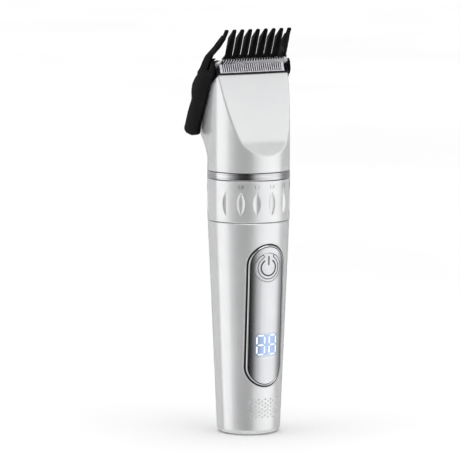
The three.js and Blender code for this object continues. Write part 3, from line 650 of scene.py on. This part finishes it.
def lens_slab(low, high):
    """Curved slab between two distances in front of the barrel, larger than the panel."""
    columns, rows = 64, 90
    xs = np.linspace(-PANEL_HALF, PANEL_HALF, columns)
    zs = np.linspace(PANEL_LOW - 1, PANEL_HIGH + 1, rows)
    points = [on_skin(x, z, h) for h in (low, high) for z in zs for x in xs]
    layer = columns * rows

    def at(sheet, row, column):
        return sheet * layer + row * columns + column

    faces = []
    for sheet in (0, 1):
        for r in range(rows - 1):
            for c in range(columns - 1):
                faces.append((at(sheet, r, c), at(sheet, r, c + 1), at(sheet, r + 1, c + 1),
                              at(sheet, r + 1, c)))
    edge = [(0, c) for c in range(columns - 1)] + [(r, columns - 1) for r in range(rows - 1)]
    edge += [(rows - 1, c) for c in range(columns - 1, 0, -1)]
    edge += [(r, 0) for r in range(rows - 1, 0, -1)]
    for (r0, c0), (r1, c1) in zip(edge, edge[1:] + edge[:1]):
        faces.append((at(0, r0, c0), at(0, r1, c1), at(1, r1, c1), at(1, r0, c0)))
    return new_mesh("slab", points, faces)


LENS_PROUD, LENS_SUNK, LENS_INSET = 0.4, 0.7, 1.43
BUTTON_GAP = 0.15
lens = boolean(lens_slab(-LENS_SUNK, LENS_PROUD), along_y(oval(LENS_INSET), -40, -4), "INTERSECT")
button_hole = along_y(arc(0, BUTTON_HEIGHT, BUTTON_RADIUS + BUTTON_GAP, 0, 357.5, 143), -40, -4)
add("display_lens", boolean(lens, button_hole), mirror, "handle",
    ["display_panel"],
    normals=skin_normals(lambda a, z: barrel_radius(z) + LENS_PROUD + 0 * a))


# ---------------------------------------------------------------- button and lit digits
# The raised C: radius of its middle, half its width, and degrees from the top to its ends.
C_MIDDLE, C_HALF, C_GAP = 6.35, 0.68, 31
C_RISE, C_SLOPE = 0.15, 0.22
GROOVE_DEEP, GROOVE_WIDE = 0.12, 0.13
CROWN, CROWN_STEP = 0.42, 0.09
STEM_RADIUS, STEM_FRONT = 2.2, -18.4


def button_mesh():
    around = 180
    angles = np.linspace(0, 2 * math.pi, around, endpoint=False)
    rows = []

    def row(radius, lift):
        rows.append([on_skin(radius * math.sin(a), BUTTON_HEIGHT + radius * math.cos(a), lift(a))
                     for a in angles])

    for radius, lift in [(BUTTON_RADIUS - 0.05, -0.7), (BUTTON_RADIUS, -0.6),
                         (BUTTON_RADIUS, 0.30), (BUTTON_RADIUS - 0.06, 0.40),
                         (BUTTON_RADIUS - 0.16, 0.46)]:
        row(radius, lambda a, lift=lift: lift)
    middle, half, gap = C_MIDDLE, C_HALF, math.radians(C_GAP)

    def crown(radius, angle):
        off = abs((angle + math.pi) % (2 * math.pi) - math.pi)
        if off >= gap:
            away = abs(radius - middle)
        else:
            away = math.hypot(radius * math.cos(gap - off) - middle, radius * math.sin(gap - off))
        raised = min(max((half - away) / C_SLOPE, 0), 1)
        groove = math.exp(-((away - half) / GROOVE_WIDE) ** 2)
        return CROWN + C_RISE * raised * raised * (3 - 2 * raised) - GROOVE_DEEP * groove

    for radius in np.arange(BUTTON_RADIUS - 0.25, 0.2, -CROWN_STEP):
        row(radius, lambda a, radius=radius: crown(radius, a))
    row(0.1, lambda a: CROWN)
    return stack_of(rows)


stem = along_y(arc(0, BUTTON_HEIGHT, STEM_RADIUS, 0, 345, 23), STEM_FRONT, STEM_BACK)
add("button", union([button_mesh(), stem]), button_silver, "power_key",
    ["power_button"], crease=50)


ROUND_CAPS = [(0.98, 0.17), (0.87, 0.5), (0.57, 0.82)]
POINTED_CAPS = [(1.5, 0.06), (1.0, 0.38), (0.5, 0.72)]


def ribbon(path, width, low, high, place, caps=ROUND_CAPS):
    """Closed flat strip along a path of [a, b] points; place(a, b, proud) gives the point.

    Each cap row is [distance past the end, width], in half widths.
    """
    path = np.array(path, float)
    half = width / 2
    start = path[0] - path[1]
    end = path[-1] - path[-2]
    start = start / np.linalg.norm(start)
    end = end / np.linalg.norm(end)
    before = [path[0] + start * half * out for out, _ in caps]
    after = [path[-1] + end * half * out for out, _ in reversed(caps)]
    thin = [half * wide for _, wide in caps]
    widths = np.array(thin + [half] * len(path) + thin[::-1])
    path = np.concatenate([before, path, after])
    tangent = np.gradient(path, axis=0)
    tangent /= np.linalg.norm(tangent, axis=1)[:, None]
    side = np.stack([-tangent[:, 1], tangent[:, 0]], 1) * widths[:, None]
    rows = []
    for p, n in zip(path, side):
        a, b = p + n, p - n
        rows.append([place(*a, low), place(*b, low), place(*b, high), place(*a, high)])
    return outward(stack_of(rows))


def joined(meshes):
    """One mesh that holds several separate closed solids."""
    bm = bmesh.new()
    for mesh in meshes:
        bm.from_mesh(mesh)
    made = bpy.data.meshes.new("joined")
    bm.to_mesh(made)
    bm.free()
    return made


ICON = 4.0
ICON_ARC_WIDE, ICON_BAR_WIDE, C_LINE_WIDE = 0.76, 0.72, 0.46
MARK_LOW, MARK_HIGH = 0.36, 0.475
icon_arc = [(ICON * math.sin(a), BUTTON_HEIGHT + ICON * math.cos(a))
            for a in np.radians(np.linspace(36, 324, 70))]
icon_bar = [(0, BUTTON_HEIGHT + z) for z in np.linspace(1.4, 5.3, 8)]
add("power_mark", joined([
    ribbon(icon_arc, ICON_ARC_WIDE, MARK_LOW, MARK_HIGH, on_skin),
    ribbon(icon_bar, ICON_BAR_WIDE, MARK_LOW, MARK_HIGH, on_skin),
]), mark_grey, "power_key")


def c_line():
    """Ends and inner edge of the raised C on the button."""
    points = []
    for side in (1, -1):
        a = math.radians(C_GAP) * side
        end = []
        for b in np.radians(np.linspace(10, 165, 9)):
            out, beyond = C_HALF * math.cos(b), -side * C_HALF * math.sin(b)
            end.append(((C_MIDDLE + out) * math.sin(a) + beyond * math.cos(a),
                        (C_MIDDLE + out) * math.cos(a) - beyond * math.sin(a)))
        points.append(end)
    inner = [((C_MIDDLE - C_HALF) * math.sin(a), (C_MIDDLE - C_HALF) * math.cos(a))
             for a in np.radians(np.linspace(C_GAP + 1.5, 358.5 - C_GAP, 100))]
    path = [*points[0], *inner, *reversed(points[1])]
    return [(x, BUTTON_HEIGHT + z) for x, z in path]


add("button_line", ribbon(c_line(), C_LINE_WIDE, MARK_LOW, MARK_HIGH, on_skin), mark_grey,
    "power_key")

DIGIT_WIDE, DIGIT_TALL, DIGIT_PITCH, SEGMENT = 4.6, 10.0, 6.5, 0.68
SEGMENT_GAP = 0.92


def digit(centre):
    """Seven lit bars of one digit."""
    half, tall = DIGIT_WIDE / 2 - SEGMENT / 2, DIGIT_TALL / 2 - SEGMENT / 2
    gap = SEGMENT_GAP
    bars = [((-half + gap, level), (half - gap, level)) for level in (-tall, 0.0, tall)]
    for x in (-half, half):
        bars += [((x, -tall + gap), (x, -gap)), ((x, gap), (x, tall - gap))]
    made = []
    for (x0, z0), (x1, z1) in bars:
        path = [(centre + x0 + (x1 - x0) * t, DIGITS_HEIGHT + z0 + (z1 - z0) * t)
                for t in np.linspace(0, 1, 6)]
        made.append(ribbon(path, SEGMENT, LENS_PROUD - 0.1, LENS_PROUD + 0.04, on_skin,
                           POINTED_CAPS))
    return made


add("lit_digits", joined(digit(-DIGIT_PITCH / 2) + digit(DIGIT_PITCH / 2)), display_light,
    "handle")


# ---------------------------------------------------------------- dial and trim ring
DIAL_MIDDLE = (DIAL_LOW + DIAL_HIGH) / 2 - 0.9
PLAIN_POSITIONS = (FLUTES // 4, 3 * FLUTES // 4)


def flute_half(z):
    """Half width of the lens-shaped recess at a height."""
    radius = (FLUTE_HALF ** 2 + FLUTE_WIDE ** 2) / (2 * FLUTE_WIDE)
    off = min(abs(z - DIAL_MIDDLE), FLUTE_HALF)
    return math.sqrt(radius ** 2 - off ** 2) - (radius - FLUTE_WIDE)


def dial_row(base, z):
    """One loop of the dial, whose points crowd along the edges of the recesses."""
    pitch = 2 * math.pi * base / FLUTES
    half = max(flute_half(z), 0.02)
    inside = abs(z - DIAL_MIDDLE) < FLUTE_HALF
    points = []
    for i in range(FLUTES):
        middle = math.radians(FLUTE_OFFSET + i * 360 / FLUTES)
        across = [*np.linspace(-pitch / 2, -half, 7)[:-1], *np.linspace(-half, half, 15),
                  *np.linspace(half, pitch / 2, 7)[1:-1]]
        for offset in across:
            dip = 0.0
            if inside and i not in PLAIN_POSITIONS and abs(offset) < half:
                dip = FLUTE_DEPTH * (half / FLUTE_WIDE) ** 0.6 * (1 - (offset / half) ** 2)
            angle = middle + offset / base
            points.append(((base - dip) * math.sin(angle), -(base - dip) * math.cos(angle), z))
    return points


def dial_base(z):
    foot = max(0.0, 0.35 - (z - DIAL_LOW)) / 0.35
    head = max(0.0, z - (DIAL_HIGH - 0.35)) / 0.35
    low = DIAL_RADIUS - 0.19 + 0.15 * min((z - DIAL_LOW) / (DIAL_HIGH - DIAL_LOW - 4), 1)
    return low - 0.3 * (1 - math.sqrt(1 - min(foot, 1) ** 2)) - 0.3 * (
        1 - math.sqrt(1 - min(head, 1) ** 2))


dial_heights = [DIAL_LOW + d for d in (0, 0.03, 0.09, 0.18, 0.35, 1.2, 2.4)]
dial_heights += list(np.linspace(DIAL_MIDDLE - FLUTE_HALF, DIAL_MIDDLE + FLUTE_HALF, 61))
dial_heights += [DIAL_HIGH - d for d in (3.2, 2.0, 1.0, 0.35, 0.18, 0.09, 0.03, 0)]
dial_rows = [dial_row(dial_base(z), z) for z in dial_heights]
for r, z in ((SLEEVE + 0.7, DIAL_HIGH), (SLEEVE + 0.7, DIAL_HIGH - 4.2), (SLEEVE, DIAL_HIGH - 5),
             (SLEEVE, DIAL_LOW)):
    dial_rows.append([(p[0] * r / math.hypot(p[0], p[1]), p[1] * r / math.hypot(p[0], p[1]), z)
                      for p in dial_row(DIAL_RADIUS, DIAL_LOW)])
add("dial", tube_of(dial_rows), pearl_dial, "dial", ["length_dial"], crease=24)

DIAL_NUMBERS = ("0.8", "1.1", "1.4", "1.7", "2.0")
NUMBER_TALL = 1.75


def number_mesh(text, degrees):
    """Number wrapped round the dial, its middle at an angle from the front."""
    curve = bpy.data.curves.new("number", "FONT")
    curve.body = text
    curve.size = NUMBER_TALL / 0.7
    curve.align_x = "CENTER"
    curve.align_y = "CENTER"
    curve.extrude = 0.05
    holder = bpy.data.objects.new("number", curve)
    bpy.context.scene.collection.objects.link(holder)
    graph = bpy.context.evaluated_depsgraph_get()
    mesh = bpy.data.meshes.new_from_object(holder.evaluated_get(graph))
    bpy.data.objects.remove(holder)
    for v in mesh.vertices:
        angle = math.radians(degrees) + v.co.x / DIAL_RADIUS
        reach = DIAL_RADIUS - 0.06 + v.co.z
        height = DIAL_HIGH - 2.9 + v.co.y
        v.co = (reach * math.sin(angle), -reach * math.cos(angle), height)
    bm = bmesh.new()
    bm.from_mesh(mesh)
    bmesh.ops.remove_doubles(bm, verts=bm.verts, dist=1e-4)
    bm.to_mesh(mesh)
    bm.free()
    return mesh


add("dial_numbers", joined([
    number_mesh(text, FLUTE_OFFSET - 45 + 22.5 * i) for i, text in enumerate(DIAL_NUMBERS)
]), dial_print, "dial")

add("metal_ring", lathe([
    (SLEEVE, RING_LOW), (RING_RADIUS - 0.20, RING_LOW), (RING_RADIUS - 0.06, RING_LOW + 0.06),
    (RING_RADIUS, RING_LOW + 0.20), (RING_RADIUS - 0.01, RING_LOW + 0.8),
    (RING_RADIUS - 0.02, RING_HIGH - 0.8), (RING_RADIUS, RING_HIGH - 0.20),
    (RING_RADIUS - 0.06, RING_HIGH - 0.06), (RING_RADIUS - 0.20, RING_HIGH), (SLEEVE, RING_HIGH),
], 240), ring_metal, "handle", ["trim_ring"], crease=40)


# ---------------------------------------------------------------- head
CREASE_ROUND, LIP_ROUND = 0.7, 0.6
FACE_LEAN = math.atan2(FACE_TOP[0] - CREASE[0], FACE_TOP[1] - CREASE[1])
LIP_LEAN = math.atan2(CREASE[0] - LIP_BOTTOM[0], CREASE[1] - LIP_BOTTOM[1])
HEEL_TABLE = np.array(HEEL, float)


def soft_max(a, b, k):
    """Larger of two fields, with the corner between them rounded over a width k."""
    h = np.clip(0.5 + 0.5 * (a - b) / k, 0, 1)
    return b + (a - b) * h + k * h * (1 - h)


def head_level(x, y, z):
    """Below nought inside the head: a round body with a squared heel, and a scooped face."""
    back = np.interp(z, HEEL_TABLE[:, 0], HEEL_TABLE[:, 1])
    power = np.interp(z, HEEL_TABLE[:, 0], HEEL_TABLE[:, 2])
    front = np.hypot(x, y) - HEAD_RADIUS
    squared = ((np.abs(x / HEAD_RADIUS) ** power + np.abs(np.maximum(y, 0) / back) ** power)
               ** (1 / power) - 1) * HEAD_RADIUS
    body = np.where(y > 0, squared, front)
    dy, dz = y - CREASE[0], z - CREASE[1]
    face = -math.cos(FACE_LEAN) * dy + math.sin(FACE_LEAN) * dz
    lip = -math.cos(LIP_LEAN) * dy + math.sin(LIP_LEAN) * dz
    scoop = -soft_max(-face, -lip, CREASE_ROUND)
    return soft_max(body, scoop, LIP_ROUND)


def head_middle(z):
    """Y of the line that the head's rays start from, which moves back as the face does."""
    return np.interp(z, [136, 150, 165, 180], [0.0, 1.0, 4.0, 6.0])


def head_reach(angle, z):
    """Distance from the middle line to the surface."""
    low, high = np.zeros_like(angle), np.full_like(angle, 34.0)
    for _ in range(44):
        mid = (low + high) / 2
        inside = head_level(mid * np.sin(angle), head_middle(z) - mid * np.cos(angle), z) < 0
        low, high = np.where(inside, mid, low), np.where(inside, high, mid)
    return low


def head_point(angle, z, inset=0.0):
    reach = head_reach(angle, z) - inset
    return np.stack([reach * np.sin(angle), head_middle(z) - reach * np.cos(angle), z], -1)


def depth_under_skin(points):
    """Distance of [x, y, z] points into the head from the blade's skin plane."""
    y, z = points[..., 1] - SKIN_ORIGIN[0], points[..., 2] - SKIN_ORIGIN[1]
    return y * INWARD[0] + z * INWARD[1]


def head_mesh():
    around, up = 560, 120
    angles = np.arange(around) * 2 * math.pi / around
    low, high = np.full(around, 150.0), np.full(around, 184.0)
    for _ in range(34):
        mid = (low + high) / 2
        under = depth_under_skin(head_point(angles, mid)) > SEAT_DEPTH
        low, high = np.where(under, mid, low), np.where(under, high, mid)
    top = low
    rise = HEAD_LOW + 0.25
    rows = [head_point(angles, np.full(around, HEAD_LOW), 0.22),
            head_point(angles, np.full(around, HEAD_LOW + 0.07), 0.07)]
    for v in np.linspace(0, 1, up):
        rows.append(head_point(angles, rise + (top - 0.45 - rise) * v))
    for drop, inset in ((0.22, 0.07), (0.06, 0.25)):
        rows.append(head_point(angles, top - drop, inset))
    rims = []
    for inset in (0.5, WALL):
        rim = head_point(angles, top, inset)
        rim[:, 2] += (depth_under_skin(rim) - SEAT_DEPTH) / -INWARD[1]
        rims.append(rim)
    rows += rims
    for v in np.linspace(0.94, 0, 24):
        rows.append(head_point(angles, HEAD_LOW + (top - HEAD_LOW) * v, WALL))
    return tube_of(rows)


add("head", head_mesh(), pearl, "handle", ["head_housing"], crease=38)


# ---------------------------------------------------------------- blades
TOOTH_ROOT = 6.0
BEVEL_END = 5.2
CORNER = 3.2
EDGE_BREAK = 0.14
SCREW_HOLE_X, SCREW_HOLE_BACK = 9, 18
# Widths of a fixed tooth at its tip, behind the tip, at the end of the bevel and in the plate.
TOOTH_WIDTHS = (0.34, 0.50, 0.70, 0.82)


def tooth(x, widths, stations, chamfer):
    """Closed tapered tooth; stations are [s, t of the top, t of the underside]."""
    rows = []
    for wide, (s, top, under) in zip(widths, stations):
        h, c = wide / 2, min(chamfer, wide / 3)
        section = [(-h, under), (-h, top + c), (-h + c, top), (h - c, top), (h, top + c),
                   (h, under)]
        rows.append([(x + a, *at_blade(s, t)) for a, t in section])
    return outward(stack_of(rows))


def fixed_blade_mesh():
    corner = arc(-(BLADE_HALF - CORNER), CORNER, CORNER, 180, 270, 12)
    toothed = FIXED_TEETH * FIXED_PITCH / 2 - 0.3
    left = [*corner, (-toothed - 0.1, 0.0), (-toothed - 0.1, TOOTH_ROOT)]
    right = [(-x, s) for x, s in reversed(left)]
    plan = [*left, *right, (BLADE_HALF, BLADE_LENGTH), (-BLADE_HALF, BLADE_LENGTH)]
    plate = blade_plate(plan, 0, BLADE_THICK)
    bevel = blade_x([(-2, -1), (BEVEL_END, -1), (BEVEL_END, 0), (0, TIP_DROP), (-2, TIP_DROP)],
                    -40, 40)
    plate = bevelled(boolean(plate, bevel), EDGE_BREAK)
    teeth = []
    for i in range(FIXED_TEETH - 1):
        x = (i + 1 - FIXED_TEETH / 2) * FIXED_PITCH
        teeth.append(tooth(x, TOOTH_WIDTHS, (
            (0.0, TIP_DROP + 0.25, BLADE_THICK - 0.15), (0.35, TIP_DROP - 0.05, BLADE_THICK),
            (BEVEL_END, 0.05, BLADE_THICK), (TOOTH_ROOT + 0.8, 0.02, BLADE_THICK - 0.01),
        ), EDGE_BREAK))
    for side in (-1, 1):
        for radius, t0, t1 in ((1.4, -1, 4), (2.5, -1, 1.2)):
            middle = (side * SCREW_HOLE_X, SCREW_HOLE_BACK)
            hole = blade_plate(arc(*middle, radius, 0, 348, 29), t0, t1)
            plate = boolean(plate, hole)
    return boolean(plate, joined(teeth), "UNION")


add("fixed_blade_ground", fixed_blade_mesh(), blade_steel, "blade_head",
    ["fixed_blade"])

MOVER_TOP = BLADE_THICK + GAP
MOVER_START, MOVER_DEPTH, MOVER_BACK, MOVER_PLATE = 2.9, 4.22, 13.4, 4.9
END_BLOCK, TOOTH_HALF, TOOTH_CHAMFER = 0.85, 0.36, 0.12
MOVER_FOOT = MOVER_START + MOVER_DEPTH / math.tan(BLADE_LEAN + FACE_LEAN)


def moving_blade_mesh():
    low = MOVER_TOP + MOVER_DEPTH
    body = blade_x([
        (6.2, MOVER_TOP), (MOVER_BACK, MOVER_TOP), (MOVER_BACK, MOVER_PLATE), (8.2, MOVER_PLATE),
        (7.0, low), (MOVER_FOOT + 0.95, low), (MOVER_FOOT + 0.85, low - 0.6),
    ], -MOVER_HALF, MOVER_HALF)
    bar = blade_x([
        (MOVER_FOOT - 0.13, low - 0.55), (7.0, low - 0.55), (7.0, low), (MOVER_FOOT, low),
    ], -MOVER_HALF, MOVER_HALF)
    solid = bevelled(boolean(body, bar, "UNION"), 0.10)
    slope = (MOVER_FOOT - MOVER_START) / MOVER_DEPTH
    blocks = [((i - (MOVER_TEETH - 1) / 2) * MOVER_PITCH, TOOTH_HALF) for i in range(MOVER_TEETH)]
    blocks += [(side * (MOVER_HALF - END_BLOCK), END_BLOCK) for side in (-1, 1)]
    c = TOOTH_CHAMFER
    for x, h in blocks:
        rows = []
        for t in (MOVER_TOP, low - 0.4):
            front = MOVER_START + (t - MOVER_TOP) * slope
            section = [(-h, 7.0), (-h, front + c), (-h + c, front), (h - c, front), (h, front + c),
                       (h, 7.0)]
            rows.append([(x + a, *at_blade(s, t)) for a, s in section])
        solid = boolean(solid, outward(stack_of(rows)), "UNION")
    return solid


add("moving_blade_cut", moving_blade_mesh(), blade_ceramic, "cutter",
    ["moving_blade"])


# ---------------------------------------------------------------- guide comb
LIFT = -0.45
COMB_REACH = COMB_INNER + 0.5
COMB_TIP = arc(-9.1, 198.3, 0.83, 180, 55, 10)
# Outlines of an inner tooth and of a side plate's back and front edges, as [y, z].
INNER_TOOTH = [
    (-5.1, 184.7), *COMB_TIP, (-3.8, 194.9), (-0.75, 186.3), at_blade(11, -2.6),
    at_blade(11, LIFT), at_blade(6.2, LIFT), (1.0, 183.1), (-4.0, 185.0),
]
PLATE_BACK = [
    (-6.4, 196.9), (0.4, 190.0), (6.0, 185.4), (8.8, 181.4), (10.8, 177.6), (15.0, 174.0),
    (17.6, 170.8), (17.8, 167.6), (16.6, 164.4), (19.3, 158.0), (21.6, 149.2), (20.0, 147.4),
    (14.0, 146.3), (9.2, 147.3), (8.3, 151.9), (4.7, 161.9), (1.5, 170.4), (-1.2, 174.2),
]
PLATE_FRONT = [
    (-2.4, 176.0), (-3.4, 178.6), (-3.4, 182.2), (-2.3, 183.9), (1.0, 178.6), (3.2, 179.2),
    (1.4, 182.3), (0.3, 184.6), (-0.9, 187.0),
]
# A side plate seen from the front, as [x, z], wider towards its lower end.
PLATE_FLARE = [
    (18.3, 201), (18.4, 197), (21.3, 186), (22.0, 178), (22.0, 170), (24.18, 149), (24.18, 144),
    (22.0, 144), (22.0, 149), (COMB_INNER, 170), (COMB_INNER, 183.2), (19.9, 186.5), (18.0, 190),
    (16.9, 194), (16.9, 201),
]
# The bar under the teeth and the rail beside the blade, as [s, t] of the blade.
COMB_BAR = [(9.5, LIFT), (21, LIFT), (21, -1.6), (18, -3.4), (12, -3.8), (9.5, -2.4)]
COMB_RAIL = [(2.6, LIFT), (10, LIFT), (10, -2.4), (4.4, -1.7), (2.6, -0.9)]


def comb_mesh():
    parts = [bevelled(blade_x(rounded(COMB_BAR, 0.5, 3), -COMB_REACH, COMB_REACH), 0.1)]
    for i in range(1, COMB_TEETH - 1):
        x = (i - (COMB_TEETH - 1) / 2) * COMB_PITCH
        parts.append(bevelled(along_x(INNER_TOOTH, x - COMB_TOOTH / 2, x + COMB_TOOTH / 2), 0.22))
    side_plate = [*COMB_TIP, *rounded(PLATE_BACK, 1.4), *rounded(PLATE_FRONT, 0.4, 3)]
    for side in (-1, 1):
        flare = [(side * x, z) for x, z in PLATE_FLARE]
        plate = boolean(along_x(side_plate, *sorted((side * 16, side * 25))),
                        along_y(flare, -40, 40), "INTERSECT")
        parts.append(bevelled(plate, 0.30, 3, 35))
        rail = blade_x(COMB_RAIL, *sorted((side * 19, side * COMB_REACH)))
        parts.append(bevelled(rail, 0.15))
    return union(parts)


add("comb", comb_mesh(), comb_black, "comb", ["guide_comb"], crease=32)


# ---------------------------------------------------------------- base
SCREW_Y, SOCKET_Y = -8.6, 6.2


def slot_outline(width, height, y, steps=14):
    r = height / 2
    return arc(width / 2 - r, y, r, -90, 90, steps) + arc(r - width / 2, y, r, 90, 270, steps)


cap = lathe([
    (0.01, 0), (CAP_RADIUS - 0.5, 0), (CAP_RADIUS - 0.2, 0.06), (CAP_RADIUS - 0.05, 0.2),
    (CAP_RADIUS, 0.45), (CAP_RADIUS, CAP_TOP), (0.01, CAP_TOP),
], 120, closed=False)
cap = boolean(cap, along_z(slot_outline(11.0, 5.2, SOCKET_Y), -1, 5))
cap = boolean(cap, along_z(arc(0, SCREW_Y, 2.4, 0, 350, 35), -1, 1.8))
cap = boolean(cap, along_z(arc(0, SCREW_Y, 1.2, 0, 350, 35), -1, 5))
add("foot_cap", cap, pearl, "handle", ["base_cap"])

socket = boolean(bevelled(along_z(slot_outline(10.4, 4.6, SOCKET_Y), 0.5, 8.6), 0.2),
                 along_z(slot_outline(9.2, 3.4, SOCKET_Y), -1, 7.4))
add("socket_shell", socket, socket_steel, "handle", ["charge_socket"])
add("socket_tongue", bevelled(along_z([(-3.3, 5.8), (3.3, 5.8), (3.3, 6.6), (-3.3, 6.6)], 1.6, 7.8),
                              0.12), black_plastic, "handle")

# ---------------------------------------------------------------- carried CAD nodes
CARRIED = {
    "base_screw": screw_steel, "charge_board": board_green, "battery_cradle": grey_frame,
    "battery_cell": cell_wrap, "battery_tab_top": spring_steel, "battery_tab_bottom": spring_steel,
    "main_board": board_green, "control_chip": black_plastic, "digit_display": display_light,
    "button_switch": black_plastic, "switch_plunger": black_plastic, "spine_tube": grey_frame,
    "detent_spring": spring_steel, "motor_can": motor_steel, "motor_shaft": shaft_steel,
    "motor_bracket": grey_frame, "motor_screw_1": screw_steel, "motor_screw_2": screw_steel,
    "motor_lead_1": lead_black, "motor_lead_2": lead_red, "eccentric_cam": cam_nylon,
    "drive_fork": black_plastic, "taper_pusher": grey_frame, "taper_carrier": grey_frame,
    "blade_frame": frame_black, "blade_screw_1": screw_steel, "blade_screw_2": screw_steel,
    "tension_spring_1": spring_steel, "tension_spring_2": spring_steel,
}
for node_name, node_material in CARRIED.items():
    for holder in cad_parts[node_name].material_slots:
        holder.material = node_material

# ---------------------------------------------------------------- studio
floor_material = finish("studio_floor", (0.90, 0.90, 0.905), (0.92, 0.92, 0.925), (0.6, 0.7),
                        blotch=3, grain=300, bump=0.02)
FLOOR_HALF = 6.0
floor_mesh = new_mesh("floor", [(-FLOOR_HALF, -FLOOR_HALF, 0), (FLOOR_HALF, -FLOOR_HALF, 0),
                                (FLOOR_HALF, FLOOR_HALF, 0), (-FLOOR_HALF, FLOOR_HALF, 0)],
                      [(0, 1, 2, 3)])
floor_mesh.materials.append(floor_material)
floor = bpy.data.objects.new("studio_floor", floor_mesh)
bpy.context.scene.collection.objects.link(floor)
floor.visible_glossy = False

# Light by direction: each stop is [degrees from the front, positive towards +X, brightness].
LIGHT_ROUND = [
    (-180, 0.50), (-133, 0.44), (-131.5, 0.42), (-130.5, 1.15), (-112, 1.22), (-95, 1.02),
    (-85, 0.58), (-70, 0.24), (-55, 0.06), (-36, 0.03), (-28, 0.05), (-20, 0.16), (-13, 0.42),
    (-5, 0.66), (12, 1.00), (30, 1.12), (50, 1.12), (61, 1.00), (69, 0.72), (77, 0.40), (88, 0.30),
    (180, 0.50),
]
# Share of it that is left at each sine of the height above the horizon.
LIGHT_UP = [(-1.0, 1.0), (0.15, 1.0), (0.30, 0.82), (0.55, 0.72), (0.70, 0.36), (1.0, 0.36)]
TOP_LIGHT, LOW_LIGHT = 4.6, 0.72


def faded(tree, value, colour, level):
    """Colour that gives way to an even level as the value goes from 0 to 1."""
    node = tree.nodes.new("ShaderNodeMix")
    node.data_type = "RGBA"
    tree.links.new(value, node.inputs[0])
    tree.links.new(colour, node.inputs[6])
    node.inputs[7].default_value = (level, level, level, 1)
    return node.outputs[2]


def studio_light():
    """World lit by direction, with an even light from the floor and a brighter one overhead."""
    world = bpy.data.worlds.new("studio")
    bpy.context.scene.world = world
    world.use_nodes = True
    tree = world.node_tree
    tree.nodes.clear()
    out = tree.nodes.new("ShaderNodeOutputWorld")
    background = tree.nodes.new("ShaderNodeBackground")
    tree.links.new(background.outputs[0], out.inputs[0])
    coords = tree.nodes.new("ShaderNodeTexCoord")
    axes = tree.nodes.new("ShaderNodeSeparateXYZ")
    tree.links.new(coords.outputs["Generated"], axes.inputs[0])
    forward = maths(tree, "MULTIPLY", axes.outputs["Y"], -1.0)
    turn = maths(tree, "ARCTAN2", axes.outputs["X"], forward)
    share = scaled(tree, turn, -math.pi, math.pi, 0.0, 1.0)
    stops = [((a + 180) / 360, (v / TOP_LIGHT,) * 3) for a, v in LIGHT_ROUND]
    rising = scaled(tree, axes.outputs["Z"], -1.0, 1.0, 0.0, 1.0)
    left_up = ramp(tree, rising, [((d + 1) / 2, (v,) * 3) for d, v in LIGHT_UP])
    sky = product(tree, ramp(tree, share, stops), left_up)
    below = scaled(tree, axes.outputs["Z"], -0.35, -0.6, 0.0, 1.0)
    overhead = scaled(tree, axes.outputs["Z"], 0.84, 0.95, 0.0, 1.0)
    sky = faded(tree, overhead, faded(tree, below, sky, LOW_LIGHT / TOP_LIGHT), 1.0)
    tree.links.new(sky, background.inputs["Color"])
    background.inputs["Strength"].default_value = TOP_LIGHT


studio_light()

# ---------------------------------------------------------------- camera
CAMERA_AZIMUTH, CAMERA_ELEVATION = math.radians(-30), math.radians(7)
CAMERA_DISTANCE, CAMERA_LENS = 1.715, 273.3
AIM_HEIGHT = 0.0997
AIM_LEFT = 0.0091
back = Vector((math.sin(CAMERA_AZIMUTH) * math.cos(CAMERA_ELEVATION),
               -math.cos(CAMERA_AZIMUTH) * math.cos(CAMERA_ELEVATION), math.sin(CAMERA_ELEVATION)))
right = Vector((math.cos(CAMERA_AZIMUTH), math.sin(CAMERA_AZIMUTH), 0))
camera_data = bpy.data.cameras.new("camera")
camera_data.lens = CAMERA_LENS
camera_data.sensor_width = 36
camera_data.clip_start = 0.05
camera = bpy.data.objects.new("camera", camera_data)
bpy.context.scene.collection.objects.link(camera)
camera.location = Vector((0, 0, AIM_HEIGHT)) - right * AIM_LEFT + back * CAMERA_DISTANCE
camera.rotation_mode = "QUATERNION"
camera.rotation_quaternion = (-back).to_track_quat("-Z", "Y")
bpy.context.scene.camera = camera
bpy.context.scene.view_settings.view_transform = "Standard"
